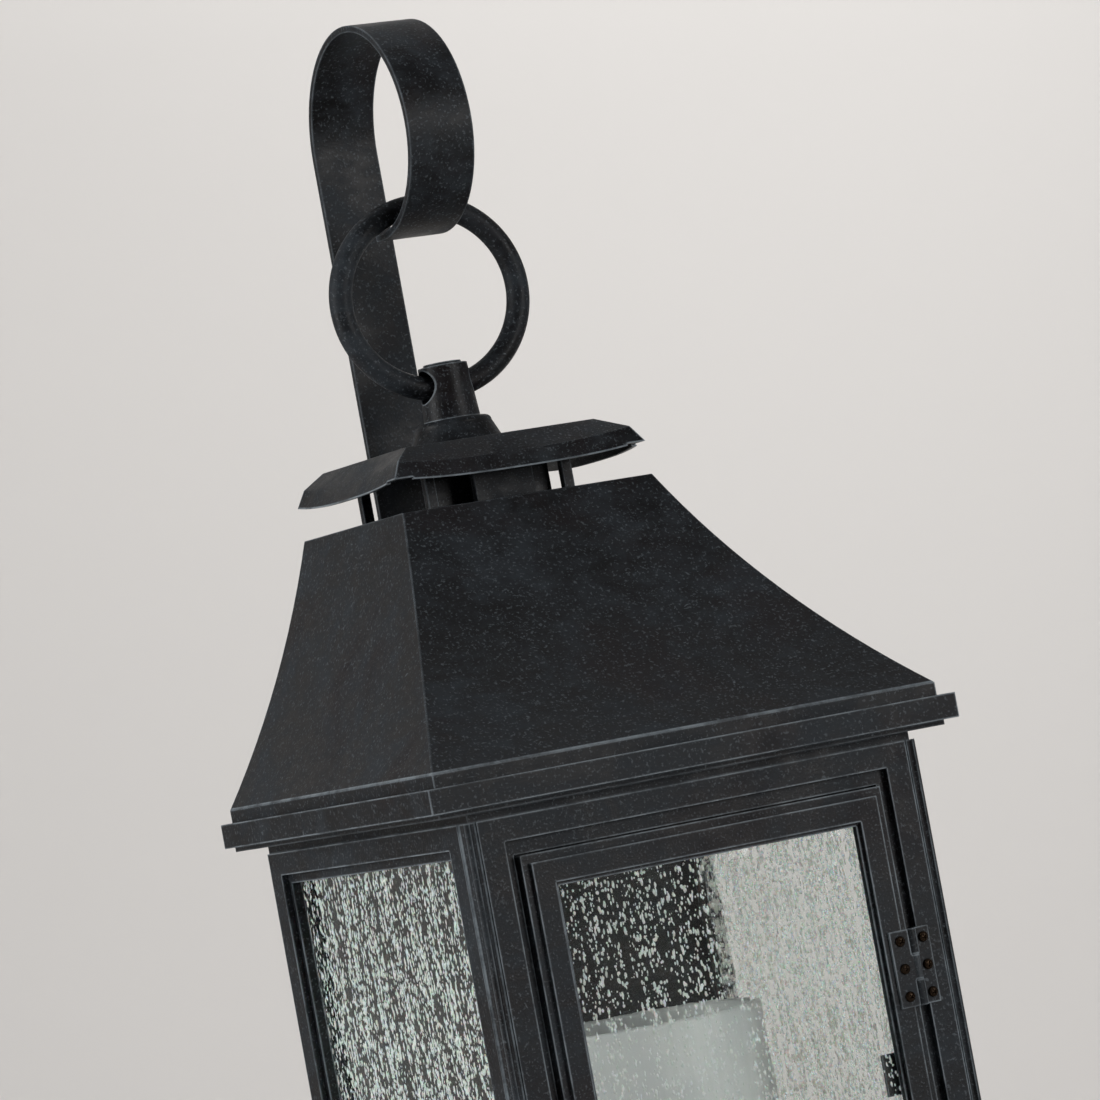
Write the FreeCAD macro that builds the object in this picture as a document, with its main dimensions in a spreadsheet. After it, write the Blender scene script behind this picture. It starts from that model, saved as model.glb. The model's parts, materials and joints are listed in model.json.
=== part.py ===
# A wall lantern: a glazed box with a hinged door, a flared roof with a vent cap, and a flat bar that
# curls over the top as a crook and holds a loose ring.
# Millimetres. +Z is up and -Y is the front. The wall is the plane Y = 0, and the origin is the middle of
# the junction box that the lantern covers. A distance called forward is measured from the wall.
import FreeCAD, Part
import math
import os
import re
import Sketcher

os.makedirs("parts", exist_ok=True)
doc = FreeCAD.newDocument("wall_lantern")
sizes = doc.addObject("Spreadsheet::Sheet", "sizes")

# Driving dimensions: name, value and meaning
DIMENSIONS = (
    # Body
    ("stand_off", 17.0, "wall to the lantern's flush back"),
    ("body_width", 216.8, "over the two side frames"),
    ("body_depth", 212.5, "flush back to the face of the front frame"),
    ("body_height", 270.0, "height of the frames, with the origin at the middle"),
    ("stile", 11.3, "flat upright border of a frame"),
    ("rail", 10.2, "flat top and bottom border of a frame"),
    ("frame_thickness", 7.0, "front frame"),
    ("groove", 0.5, "shadow gap beside a corner post"),
    ("play", 0.3, "gap between pieces that only meet loosely"),
    # Corner posts
    ("post_width", 4.8, "post seen from the front"),
    ("post_depth", 9.2, "post seen from the side"),
    ("post_proud", 0.6, "post in front of the frames"),
    ("post_nose", 1.9, "rounding of the post's outer corner"),
    ("cove_share", 0.6, "radius of the coves beside the nose, as a share of their width"),
    ("lug_width", 6.0, "inner lug that the frames are screwed to"),
    ("lug_depth", 8.5, "inner lug, front to back"),
    ("front_screw_share", 0.4, "height of the front frame's screws, as a share of the body's"),
    ("side_screw_share", 0.34, "height of the side frames' screws, as a share of the body's"),
    # Front frame
    ("front_recess_stile", 4.6, "sunk strip beside the door"),
    ("front_recess_rail", 6.2, "sunk strip above and below the door"),
    ("front_recess_depth", 3.5, "sunk strip below the frame's face"),
    ("stop_width", 3.0, "door stop behind the door's edge"),
    ("stop_depth", 2.0, "thickness of the door stop"),
    # Side frames
    ("side_frame_thickness", 7.9, "side frame"),
    ("side_recess_depth", 3.2, "sunk strip of a side frame"),
    ("side_recess_stile", 2.7, "sunk strip beside the glass of a side frame"),
    ("side_recess_rail", 4.2, "sunk strip above and below that glass"),
    # Door
    ("door_gap", 0.7, "door edge to the front frame"),
    ("door_step", 3.7, "low outer step of the door"),
    ("door_border", 9.7, "raised border of the door"),
    ("door_step_proud", 0.6, "low step in front of the front frame"),
    ("door_proud", 2.7, "raised border in front of the front frame"),
    ("door_bead", 1.6, "low bead round the door's glass"),
    ("door_bead_drop", 2.4, "bead below the raised border"),
    ("glass_thickness", 3.0, "seeded glass"),
    ("glass_lap", 5.0, "glass behind the border that holds it"),
    ("glass_room", 1.0, "depth behind the door's glass"),
    # Back panel
    ("panel_thickness", 2.0, "back panel"),
    ("panel_rim", 0.7, "low rim of the back panel that the side frames stand on"),
    ("panel_rim_width", 8.0, "body's faces to the inner edge of that rim"),
    ("panel_inset", 2.0, "back panel inside the side faces"),
    ("panel_screw_share", 0.42, "height of the panel's outer screws, as a share of the body's"),
    # Eaves and roof
    ("top_frame_height", 3.6, "recessed frame on top of the body"),
    ("top_frame_inset", 1.5, "that frame inside the body's faces"),
    ("soffit_height", 2.2, "thin strip under the eaves"),
    ("soffit_inset", 5.0, "that strip inside the eaves"),
    ("eaves_width", 254.0, "over the eaves"),
    ("eaves_depth", 222.2, "flush back to the front of the eaves"),
    ("fascia_height", 10.8, "plain band of the eaves"),
    ("lip_height", 5.8, "set-back band above it"),
    ("lip_inset", 5.7, "lip inside the eaves"),
    ("top_opening_width", 184.0, "clear opening between body and roof"),
    ("top_opening_back", 14.0, "flush back to that opening"),
    ("top_opening_front", 198.0, "flush back to the front of that opening"),
    ("roof_screw_aside", 4.0, "side of that opening to the roof screws"),
    ("roof_screw_inset", 20.0, "ends of that opening to the roof screws"),
    ("roof_height", 113.5, "flared part"),
    ("rim_width", 124.2, "flat top of the roof, side to side"),
    ("rim_depth", 108.2, "flat top of the roof, flush back to front"),
    ("flare_radius", 450.0, "hollow curve of the roof's three faces"),
    ("roof_wall", 2.2, "roof casting"),
    ("vent_hole", 50.0, "square hole in the roof's flat top"),
    # Vent neck and cap
    ("vent_axis", 45.7, "flush back to the axis of cap, stem and ring"),
    ("neck_width", 73.0, "over the corner posts of the neck"),
    ("neck_height", 27.7, "roof top to the underside of the cap"),
    ("neck_post_width", 5.0, "neck post seen from the front"),
    ("neck_post_depth", 4.0, "neck post seen from the side"),
    ("neck_plate", 1.5, "top and bottom plate of the neck"),
    ("neck_opening", 54.0, "opening in the bottom plate of the neck"),
    ("baffle_width", 60.0, "draught board inside the neck"),
    ("baffle_thickness", 4.0, "draught board inside the neck"),
    ("baffle_forward", 24.3, "vent axis to the middle of the draught board"),
    ("stay_width", 29.5, "flat stay in front of the neck"),
    ("stay_thickness", 4.0, "flat stay in front of the neck"),
    ("cap_sheet", 1.5, "sheet of the vent cap"),
    ("cap_flat_width", 93.8, "flat square of the cap"),
    ("cap_flat_front", 91.4, "flush back to the front of the flat"),
    ("cap_edge_width", 115.4, "upper edge of the cap's border"),
    ("cap_width", 124.8, "lower edge of the cap's border"),
    ("cap_edge_front", 103.5, "flush back to the upper edge"),
    ("cap_front", 107.0, "flush back to the lower edge"),
    ("cap_slope_drop", 6.4, "flat square to the upper edge"),
    ("cap_border_drop", 7.8, "upper edge to the lower edge"),
    ("cap_sag", 3.0, "how far the border hangs between its upswept corners"),
    # Collar, stem and ring
    ("collar_foot_radius", 21.8, "collar where it meets the cap"),
    ("collar_top_radius", 17.6, "collar at its shoulder"),
    ("collar_height", 12.0, "collar"),
    ("collar_round", 2.6, "rounding of the shoulder"),
    ("stem_foot_radius", 13.0, "stem at the collar"),
    ("stem_top_radius", 11.2, "stem at its top"),
    ("stem_height", 25.0, "collar top to stem top"),
    ("stem_disc_radius", 8.6, "low disc on the stem"),
    ("stem_disc_height", 1.2, "low disc on the stem"),
    ("bolt_radius", 4.0, "threaded end below the stem"),
    ("bolt_end", 8.0, "threaded end below the top plate of the neck"),
    ("stem_nut_radius", 7.6, "nut on that end, over its corners"),
    ("stem_nut_height", 6.4, "nut on that end"),
    ("ring_radius", 41.7, "middle of the ring's wire"),
    ("wire_radius", 5.3, "ring's wire"),
    ("ring_rise", 68.5, "flat of the cap to the ring's centre"),
    ("ring_turn", 8.5, "degrees that the ring hangs turned towards the left"),
    ("cross_hole_room", 2.2, "clearance round the ring's wire in the hole through the stem"),
    ("cross_hole_lift", 1.5, "hole's axis above the lowest point of the wire"),
    # Crook strap
    ("strap_width", 31.75, "flat bar"),
    ("strap_thickness", 3.0, "flat bar"),
    ("strap_lap", 53.0, "top of the body to the strap's lower end"),
    ("crook_rise", 172.9, "roof top to the centres of the crook's curves"),
    ("crook_radius", 52.5, "large outer curve"),
    ("curl_radius", 46.6, "tighter outer curve below it"),
    ("curl_angle", 98.0, "degrees that the tighter curve turns"),
    # Fixing to the wall
    ("box_spacing", 88.9, "between the two slots of the crossbar"),
    ("slot_width", 4.6, "slots of the crossbar"),
    ("slot_length", 10.0, "slots of the crossbar, end to end"),
    ("crossbar_length", 106.0, "crossbar"),
    ("crossbar_width", 19.0, "crossbar"),
    ("crossbar_thickness", 1.6, "crossbar"),
    ("crossbar_round", 3.8, "corners of the crossbar"),
    ("crossbar_hole_radius", 5.2, "middle hole of the crossbar"),
    ("stud_spacing", 63.5, "between the two mounting studs"),
    ("stud_radius", 2.0, "mounting studs"),
    ("stud_room", 0.5, "clearance round a stud"),
    ("stud_reach", 10.0, "studs inside the lantern"),
    ("cap_nut_radius", 5.2, "domed nuts on the studs"),
    ("cap_nut_height", 14.0, "domed nuts on the studs"),
    ("ground_screw_offset", 17.5, "origin to the ground screw"),
    ("ground_head_radius", 3.9, "head of the ground screw"),
    ("ground_head_height", 2.2, "head of the ground screw"),
    ("pan_width", 127.0, "back pan"),
    ("pan_drop", 7.0, "strap's lower end to the top of the back pan"),
    ("pan_sheet", 1.5, "back pan"),
    ("pan_corner", 9.0, "corner radius of the back pan"),
    ("wire_hole_radius", 9.5, "hole for the grommet"),
    ("wire_bore_radius", 4.0, "bore of the grommet"),
    ("grommet_flange", 2.5, "flanges of the grommet beyond its hole"),
    ("grommet_lip", 1.5, "thickness of those flanges"),
    ("wire_drop", 38.0, "origin down to the grommet"),
    ("spacer_width", 24.0, "block between strap and lantern"),
    ("spacer_height", 38.0, "block between strap and lantern"),
    ("spacer_lift", 8.0, "strap's lower end to the block"),
    ("strap_screw_spacing", 20.0, "between the two screws of the strap"),
    ("strap_head_radius", 3.8, "heads of those screws"),
    ("strap_head_height", 2.6, "heads of those screws"),
    # Base
    ("base_ledge_height", 6.0, "upper step of the base"),
    ("base_ledge_proud", 2.6, "upper step outside the frames"),
    ("base_height", 19.0, "whole base"),
    ("base_proud", 7.2, "lower step outside the frames"),
    ("base_chamfer", 3.0, "slope between the two steps"),
    ("base_opening_width", 192.0, "clear opening of the base"),
    ("base_opening_back", 9.0, "flush back to that opening"),
    ("base_opening_front", 200.0, "flush back to the front of that opening"),
    ("base_ledge", 7.0, "ledge that the base plate is screwed up against"),
    ("base_ledge_thickness", 9.0, "frames down to the underside of that ledge"),
    ("base_plate_thickness", 2.0, "base plate"),
    ("base_screw_inset", 15.0, "ends of the base's opening to the base screws"),
    # Lamp
    ("lamp_axis", 110.0, "flush back to the axis of the lamp"),
    ("nipple_radius", 4.85, "threaded tube that holds the lamp"),
    ("nipple_bore_radius", 3.6, "way for the wires"),
    ("nipple_length", 24.0, "threaded tube"),
    ("nipple_below", 7.0, "threaded tube below the base plate"),
    ("nipple_nut_radius", 9.2, "nut on that end"),
    ("nipple_nut_height", 4.0, "nut on that end"),
    ("nut_chamfer", 0.8, "sloping edge of the nuts on the tube and the latch"),
    ("holder_radius", 61.5, "dish under the cylinder"),
    ("holder_rim", 9.0, "height of the dish's rim"),
    ("holder_sheet", 1.5, "dish"),
    ("cylinder_radius", 58.5, "white glass cylinder, outside"),
    ("cylinder_wall", 4.0, "white glass cylinder"),
    ("cylinder_height", 178.0, "white glass cylinder"),
    ("socket_radius", 18.5, "lampholder"),
    ("socket_height", 47.0, "lampholder"),
    ("socket_foot_height", 14.0, "wide foot of the lampholder"),
    ("socket_slope", 4.0, "slope above that foot"),
    ("socket_body_radius", 16.6, "lampholder above the slope"),
    ("socket_round", 1.5, "sloping edge of its mouth"),
    ("socket_bore_radius", 13.6, "mouth of the lampholder"),
    ("bulb_cap_radius", 13.2, "metal cap of the bulb"),
    ("bulb_cap_length", 24.0, "metal cap of the bulb"),
    ("bulb_cap_sheet", 0.8, "metal cap of the bulb"),
    ("bulb_wall", 1.2, "glass of the bulb"),
    ("bulb_neck_length", 8.0, "straight neck above that cap"),
    ("bulb_radius", 30.0, "bulb at its widest"),
    ("bulb_blend", 40.0, "degrees below the widest place where the round part turns into the neck"),
    # Hinges
    ("hinge_height", 33.0, "a hinge leaf"),
    ("hinge_inset", 62.0, "door edge to the near end of a hinge"),
    ("pin_offset", 0.3, "hinge pin outside the reveal's middle line"),
    ("pin_proud", 0.2, "hinge pin in front of the door's face"),
    ("pin_radius", 1.0, "hinge pin"),
    ("pin_fit", 0.05, "clearance round the pin in the door's knuckle"),
    ("knuckle_radius", 1.9, "hinge knuckles"),
    ("knuckle_gap", 0.25, "between knuckles, and knuckle to leaf"),
    ("leaf_thickness", 1.2, "hinge leaves"),
    ("door_leaf_width", 9.2, "leaf on the door"),
    ("frame_leaf_width", 7.5, "leaf on the front frame"),
    ("hinge_screw_pitch", 11.9, "between the screws of a leaf"),
    ("door_screw_inset", 6.7, "hinge pin to the screws on the door"),
    ("frame_screw_inset", 6.3, "hinge pin to the screws on the frame"),
    ("hinge_screw_depth", 4.0, "hinge screws below their leaf"),
    ("screw_radius", 1.2, "shank of the small screws"),
    ("screw_head_radius", 2.3, "head of the small screws"),
    ("screw_head_height", 1.5, "head of the small screws"),
    ("screw_bite", 0.7, "share of a part's thickness that a screw goes into it"),
    # Latch
    ("latch_drop", 45.0, "origin down to the turn latch"),
    ("latch_shaft_radius", 2.5, "shaft of the latch"),
    ("latch_fit", 0.08, "clearance round that shaft"),
    ("latch_collar_radius", 6.0, "collar of the knob"),
    ("knob_radius", 7.5, "knob at its widest"),
    ("knob_length", 15.0, "knob in front of the door"),
    ("knob_round", 2.4, "rounding of the knob's edge"),
    ("knob_neck_radius", 3.4, "knob's neck"),
    ("latch_collar_thickness", 1.6, "collar of the knob"),
    ("cam_reach", 11.0, "shaft to the end of the cam"),
    ("cam_width", 8.0, "cam"),
    ("cam_thickness", 1.6, "cam"),
    ("latch_nut_radius", 3.9, "nut behind the cam"),
    ("latch_nut_height", 3.0, "nut behind the cam"),
    # Glass clips
    ("clip_length", 18.0, "clip along the glass edge"),
    ("clip_reach", 6.8, "clip inside the door's opening"),
    ("clip_foot", 6.5, "clip on the border"),
    ("clip_thickness", 1.2, "clip"),
    ("clip_bend", 1.2, "sloping part of the clip"),
    ("clip_screw_aside", 4.2, "edge of the rebate or glass to the clip's screw"),
    ("door_clip_share", 0.6, "place of the bottom clips, as a share of half the pane"),
    ("side_clip_share", 0.25, "place of the side clips, as a share of the glass depth"),
    ("clip_screw_depth", 4.0, "clip screws below their clip"),
    ("clip_drop", 4.0, "origin down to the clips on the stiles"),
)
for row, (alias, value, meaning) in enumerate(DIMENSIONS, start=1):
    sizes.set(f"A{row}", meaning)
    sizes.set(f"B{row}", str(value))
    sizes.setAlias(f"B{row}", alias)
doc.recompute()

ALIASES = {alias for alias, value, meaning in DIMENSIONS}
WORD = re.compile(r"[a-z_]+")
UP = FreeCAD.Vector(0, 0, 1)
TO_WALL = FreeCAD.Vector(0, 1, 0)

# Places that several pieces share, as expressions of the driving dimensions
HALF_BODY = "body_width / 2"
HALF_HEIGHT = "body_height / 2"
FACE = "(stand_off + body_depth)"
FRAME_BACK = "(stand_off + body_depth - frame_thickness)"
SIDE_FRONT = "(stand_off + body_depth + post_proud - post_depth - groove)"
SIDE_BACK = "(stand_off + panel_thickness + panel_rim)"
SIDE_INNER = "(body_width / 2 - side_frame_thickness)"
POST_INNER = "(body_width / 2 + post_proud - post_width)"
FRONT_HALF = "(body_width / 2 + post_proud - post_width - groove)"
RECESS_HALF = f"({FRONT_HALF} - stile)"
DOORWAY_HALF = f"({RECESS_HALF} - front_recess_stile)"
DOORWAY_TOP = "(body_height / 2 - rail - front_recess_rail)"
DOOR_HALF = f"({DOORWAY_HALF} - door_gap)"
DOOR_TOP = f"({DOORWAY_TOP} - door_gap)"
BORDER_HALF = f"({DOOR_HALF} - door_step)"
BORDER_TOP = f"({DOOR_TOP} - door_step)"
PANE_HALF = f"({BORDER_HALF} - door_border)"
PANE_TOP = f"({BORDER_TOP} - door_border)"
STOP_FRONT = f"({FRAME_BACK} - groove)"
STOP_BACK = f"({STOP_FRONT} - stop_depth)"
DOOR_BACK = f"({FRAME_BACK} + play)"
DOOR_FACE = f"({FACE} + door_proud)"
DOOR_GLASS_BACK = f"({DOOR_BACK} + glass_room)"
TOP_FRAME_TOP = "(body_height / 2 + top_frame_height)"
EAVES_FOOT = f"({TOP_FRAME_TOP} + soffit_height)"
ROOF_FOOT = f"({EAVES_FOOT} + fascia_height + lip_height)"
ROOF_TOP = f"({ROOF_FOOT} + roof_height)"
NECK_TOP = f"({ROOF_TOP} + neck_height)"
CAP_TOP = f"({NECK_TOP} + cap_sheet)"
COLLAR_TOP = f"({CAP_TOP} + collar_height)"
STEM_TOP = f"({COLLAR_TOP} + stem_height)"
VENT_FORWARD = "(stand_off + vent_axis)"
NECK_BACK = f"({VENT_FORWARD} - neck_width / 2)"
NECK_FRONT = f"({VENT_FORWARD} + neck_width / 2)"
RING_HEIGHT = f"({CAP_TOP} + ring_rise)"
CROSS_HOLE_HEIGHT = f"({RING_HEIGHT} - ring_radius + cross_hole_lift)"
CROOK_HEIGHT = f"({ROOF_TOP} + crook_rise)"
LAMP_FORWARD = "(stand_off + lamp_axis)"
FLOOR = "(-body_height / 2 - base_ledge_thickness)"
FLOOR_UNDER = f"({FLOOR} - base_plate_thickness)"
HOLDER_TOP = f"({FLOOR} + holder_sheet)"
LUG_MIDDLE = f"(({FRAME_BACK} - lug_depth + {SIDE_FRONT}) / 2)"
BASE_FOOT = "(-body_height / 2 - base_height)"
PIN_SIDE = f"({DOORWAY_HALF} - door_gap / 2 + pin_offset)"
PIN_FORWARD = f"({DOOR_FACE} + pin_proud)"
HINGE_LOW_END = f"({DOOR_TOP} - hinge_inset - hinge_height)"
LATCH_SIDE = f"(-({PANE_HALF} + {DOOR_HALF}) / 2)"
CAM_FRONT = f"({STOP_BACK} - play)"
CAM_BACK = f"({CAM_FRONT} - cam_thickness)"
STRAP_FOOT = "(body_height / 2 - strap_lap)"
PAN_HALF_HEIGHT = f"({STRAP_FOOT} - pan_drop)"
STRAP_SCREW_MIDDLE = f"({STRAP_FOOT} + spacer_lift + spacer_height / 2)"
INNER_PANEL = "(stand_off + panel_thickness)"
SIDE_OPENING_BACK = f"({SIDE_BACK} + stile + side_recess_stile)"
SIDE_OPENING_FRONT = f"({SIDE_FRONT} - stile - side_recess_stile)"
SIDE_OPENING_TOP = "(body_height / 2 - rail - side_recess_rail)"
SIDE_GLASS_BACK = f"({SIDE_OPENING_BACK} - glass_lap)"
SIDE_GLASS_FRONT = f"({SIDE_OPENING_FRONT} + glass_lap)"
SIDE_GLASS_TOP = f"({SIDE_OPENING_TOP} + glass_lap)"
DOOR_REBATE_SIDE = f"({PANE_HALF} + glass_lap - door_bead + play)"
DOOR_REBATE_TOP = f"({PANE_TOP} + glass_lap - door_bead + play)"
BULB_SEAT = f"({HOLDER_TOP} + socket_height - bulb_cap_length)"
BULB_RIM = f"({HOLDER_TOP} + socket_height + play)"
TOP_OPENING = ("top_opening_width / 2", "(stand_off + top_opening_back)", "(stand_off + top_opening_front)")
BASE_OPENING = ("base_opening_width / 2", "(stand_off + base_opening_back)",
                "(stand_off + base_opening_front)")
POST_SCREW = "(lug_width + side_frame_thickness * screw_bite)"
PANEL_SCREW = f"({SIDE_BACK} - stand_off + stile * screw_bite)"
ROOF_SCREW = "(top_frame_height + soffit_height + fascia_height * screw_bite)"
BASE_SCREW = "(base_plate_thickness + base_ledge_thickness * screw_bite)"

# Two lengths closer than this are taken as equal
CLOSE = 0.01


def in_sheet_terms(expression):
    """Write a bare name of the sheet as a reference to its cell."""
    def refer(match):
        word = match.group()
        return "sizes." + word if word in ALIASES else word
    return WORD.sub(refer, str(expression))


def number(expression):
    """The value that an expression has now."""
    return float(sizes.evalExpression(in_sheet_terms(expression)))


def minus(expression):
    return f"-({expression})"


# Sketches on a body's own planes
def origin_plane(body, role):
    return next(feature for feature in body.Origin.OriginFeatures if feature.Role == role)


def new_body(label):
    body = doc.addObject("PartDesign::Body", label)
    body.Label = label
    return body


def new_sketch(body, role, offset):
    sketch = body.newObject("Sketcher::SketchObject", "outline")
    sketch.AttachmentSupport = [(origin_plane(body, role), "")]
    sketch.MapMode = "FlatFace"
    sketch.setExpression("AttachmentOffset.Base.z", in_sheet_terms(offset))
    return sketch


def bind(sketch, constraint, expression):
    index = sketch.addConstraint(constraint)
    sketch.setExpression(f"Constraints[{index}]", in_sheet_terms(expression))


def place_point(sketch, edge, end, across, along):
    """Tie a point of an edge to two expressions, measured from the sketch's origin."""
    bind(sketch, Sketcher.Constraint("DistanceX", -1, 1, edge, end, number(across)), across)
    bind(sketch, Sketcher.Constraint("DistanceY", -1, 1, edge, end, number(along)), along)


def draw_circle(sketch, across, along, radius):
    middle = FreeCAD.Vector(number(across), number(along), 0)
    edge = sketch.addGeometry(Part.Circle(middle, UP, number(radius)))
    place_point(sketch, edge, 3, across, along)
    bind(sketch, Sketcher.Constraint("Radius", edge, number(radius)), radius)


def bowed_arc(start, end, radius, side):
    """An arc between two points; side 1 bows to the left of the way from start to end, -1 to the right.
    The arc itself always runs anticlockwise, so it starts at end where side is 1."""
    chord = end - start
    left = FreeCAD.Vector(-chord.y, chord.x, 0).normalize()
    height = math.sqrt(radius ** 2 - chord.Length ** 2 / 4)
    centre = (start + end) / 2 - left * side * height
    first, last = (end, start) if side == 1 else (start, end)
    from_angle, to_angle = (math.atan2(point.y - centre.y, point.x - centre.x) for point in (first, last))
    if to_angle < from_angle:
        to_angle += 2 * math.pi
    return Part.ArcOfCircle(Part.Circle(centre, UP, radius), from_angle, to_angle)


def draw_outline(sketch, corners):
    """A closed outline. A corner is (across, along), or (across, along, radius, side) where an arc
    leaves it for the next corner."""
    points = [FreeCAD.Vector(number(corner[0]), number(corner[1]), 0) for corner in corners]
    edges = []
    for index, corner in enumerate(corners):
        start, end = points[index], points[(index + 1) % len(points)]
        if len(corner) == 2:
            edge = sketch.addGeometry(Part.LineSegment(start, end))
            edges.append((edge, 1, 2))
        else:
            edge = sketch.addGeometry(bowed_arc(start, end, number(corner[2]), corner[3]))
            edges.append((edge, 2, 1) if corner[3] == 1 else (edge, 1, 2))
    for index, (edge, first, last) in enumerate(edges):
        following, following_first, following_last = edges[(index + 1) % len(edges)]
        sketch.addConstraint(Sketcher.Constraint("Coincident", edge, last, following, following_first))
    for corner, (edge, first, last) in zip(corners, edges):
        place_point(sketch, edge, first, corner[0], corner[1])
        if len(corner) > 2:
            bind(sketch, Sketcher.Constraint("Radius", edge, number(corner[2])), corner[2])


def draw_rectangle(sketch, left, right, low, high):
    draw_outline(sketch, [(left, low), (right, low), (right, high), (left, high)])


def half_round(width):
    """The radius of a half round end, a trace over half its width so that the arc always closes."""
    return f"({width}) / 2 * 1.0001"


def draw_slot(sketch, across, along, length, width):
    """A slot with round ends that runs across."""
    reach = f"(({length}) - ({width})) / 2"
    left, right = f"({across}) - {reach}", f"({across}) + {reach}"
    low, high = f"({along}) - ({width}) / 2", f"({along}) + ({width}) / 2"
    end = half_round(width)
    draw_outline(sketch, [(left, low), (right, low, end, -1), (right, high), (left, high, end, -1)])


def draw_rounded_rectangle(sketch, half_width, half_height, radius):
    """A rectangle about the origin with round corners."""
    long_x, long_z = f"({half_width} - {radius})", f"({half_height} - {radius})"
    draw_outline(sketch, [
        (minus(long_x), minus(half_height)), (long_x, minus(half_height), radius, -1),
        (half_width, minus(long_z)), (half_width, long_z, radius, -1),
        (long_x, half_height), (minus(long_x), half_height, radius, -1),
        (minus(half_width), long_z), (minus(half_width), minus(long_z), radius, -1)])


# Features
def add_pad(body, sketch, length):
    pad = body.newObject("PartDesign::Pad", "pad")
    pad.Profile = sketch
    pad.setExpression("Length", in_sheet_terms(length))
    doc.recompute()
    return pad


def add_pocket(body, sketch, depth, along_normal=True):
    """Cut a sketch's outlines into the body, and make sure that material went."""
    before = body.Shape.Volume
    pocket = body.newObject("PartDesign::Pocket", "pocket")
    pocket.Profile = sketch
    pocket.Reversed = along_normal
    pocket.setExpression("Length", in_sheet_terms(depth))
    doc.recompute()
    if not body.Shape.Volume < before:
        raise RuntimeError(f"a pocket of {body.Label} cut nothing")
    return pocket


def edge_names(shape, wanted):
    return [f"Edge{index}" for index, edge in enumerate(shape.Edges, start=1) if wanted(edge)]


def add_fillet(body, radius, wanted):
    base = body.Tip
    names = edge_names(base.Shape, wanted)
    if not names:
        raise RuntimeError(f"no edge of {body.Label} to round")
    fillet = body.newObject("PartDesign::Fillet", "fillet")
    fillet.Base = (base, names)
    fillet.setExpression("Radius", in_sheet_terms(radius))
    doc.recompute()
    return fillet


def runs_along(edge, direction):
    """Whether a straight edge lies along a direction."""
    start, end = edge.Vertexes[0].Point, edge.Vertexes[-1].Point
    way = end - start
    return way.Length > 0 and abs(way.normalize().dot(direction)) > 0.9999


def turned_body(label, outline, axis_forward):
    """A piece turned about an upright axis, axis_forward in front of the wall, from its right half."""
    body = new_body(label)
    sketch = new_sketch(body, "XZ_Plane", axis_forward)
    draw_outline(sketch, outline)
    turn = body.newObject("PartDesign::Revolution", "turn")
    turn.Profile = sketch
    turn.ReferenceAxis = (sketch, ["V_Axis"])
    turn.Angle = 360
    doc.recompute()
    return body


def turned_forward(label, outline, across, along, forward):
    """A piece turned about an axis that points forward. Its outline has the radius first and the
    distance in front of the given place second."""
    body = turned_body(label, outline, "0")
    body.Placement = FreeCAD.Placement(FreeCAD.Vector(), FreeCAD.Rotation(FreeCAD.Vector(1, 0, 0), 90))
    body.setExpression("Placement.Base.x", in_sheet_terms(across))
    body.setExpression("Placement.Base.y", in_sheet_terms(minus(forward)))
    body.setExpression("Placement.Base.z", in_sheet_terms(along))
    doc.recompute()
    return body


def forward_plate(label, back, thickness, outer, *inner):
    """A plate that faces forward, from functions that draw its outline and its openings."""
    body = new_body(label)
    sketch = new_sketch(body, "XZ_Plane", back)
    outer(sketch)
    for draw in inner:
        draw(sketch)
    add_pad(body, sketch, thickness)
    return body


def cut_forward(body, start, depth, *outlines):
    """Cut outlines forward from a plane that faces the wall."""
    sketch = new_sketch(body, "XZ_Plane", start)
    for draw in outlines:
        draw(sketch)
    add_pocket(body, sketch, depth)


def rectangle(left, right, low, high):
    return lambda sketch: draw_rectangle(sketch, left, right, low, high)


def centred(half_width, half_height):
    return rectangle(minus(half_width), half_width, minus(half_height), half_height)


def circle(across, along, radius):
    return lambda sketch: draw_circle(sketch, across, along, radius)


def slot(across, along, length, width):
    return lambda sketch: draw_slot(sketch, across, along, length, width)


def flat_ring(label, foot, height, outer, opening):
    """A level ring; outer and opening are (half width, back, front), with back and front forward."""
    body = new_body(label)
    sketch = new_sketch(body, "XY_Plane", foot)
    for half_width, back, front in (outer, opening):
        draw_rectangle(sketch, minus(half_width), half_width, minus(front), minus(back))
    add_pad(body, sketch, height)
    return body


def block(label, left, right, back, front, low, high):
    """A plain block."""
    box = doc.addObject("Part::Box", label)
    box.Label = label
    box.setExpression("Length", in_sheet_terms(f"({right}) - ({left})"))
    box.setExpression("Width", in_sheet_terms(f"({front}) - ({back})"))
    box.setExpression("Height", in_sheet_terms(f"({high}) - ({low})"))
    box.setExpression("Placement.Base.x", in_sheet_terms(left))
    box.setExpression("Placement.Base.y", in_sheet_terms(minus(front)))
    box.setExpression("Placement.Base.z", in_sheet_terms(low))
    doc.recompute()
    return box


def spot(across, forward, up):
    """A point in space from a distance across, one forward and a height."""
    return FreeCAD.Vector(number(across), -number(forward), number(up))


def shape_piece(label, shape):
    """A piece whose shape is made directly, such as a group of equal fasteners."""
    piece = doc.addObject("Part::Feature", label)
    piece.Label = label
    piece.Shape = shape
    return piece


def round_head_screw(head_radius, head_height, shank_radius, shank_length):
    """A screw with its head's seat at the origin, its head towards +Z and its shank towards -Z."""
    rim_height = head_height / 3
    dome = head_height - rim_height
    dome_radius = (head_radius ** 2 + dome ** 2) / (2 * dome)
    head = Part.makeCylinder(head_radius, head_height)
    ball = Part.makeSphere(dome_radius, FreeCAD.Vector(0, 0, head_height - dome_radius))
    shank = Part.makeCylinder(shank_radius, shank_length, FreeCAD.Vector(0, 0, -shank_length))
    return head.common(ball).fuse(shank)


def small_screw(shank):
    return round_head_screw(number("screw_head_radius"), number("screw_head_height"),
                            number("screw_radius"), number(shank))


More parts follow.
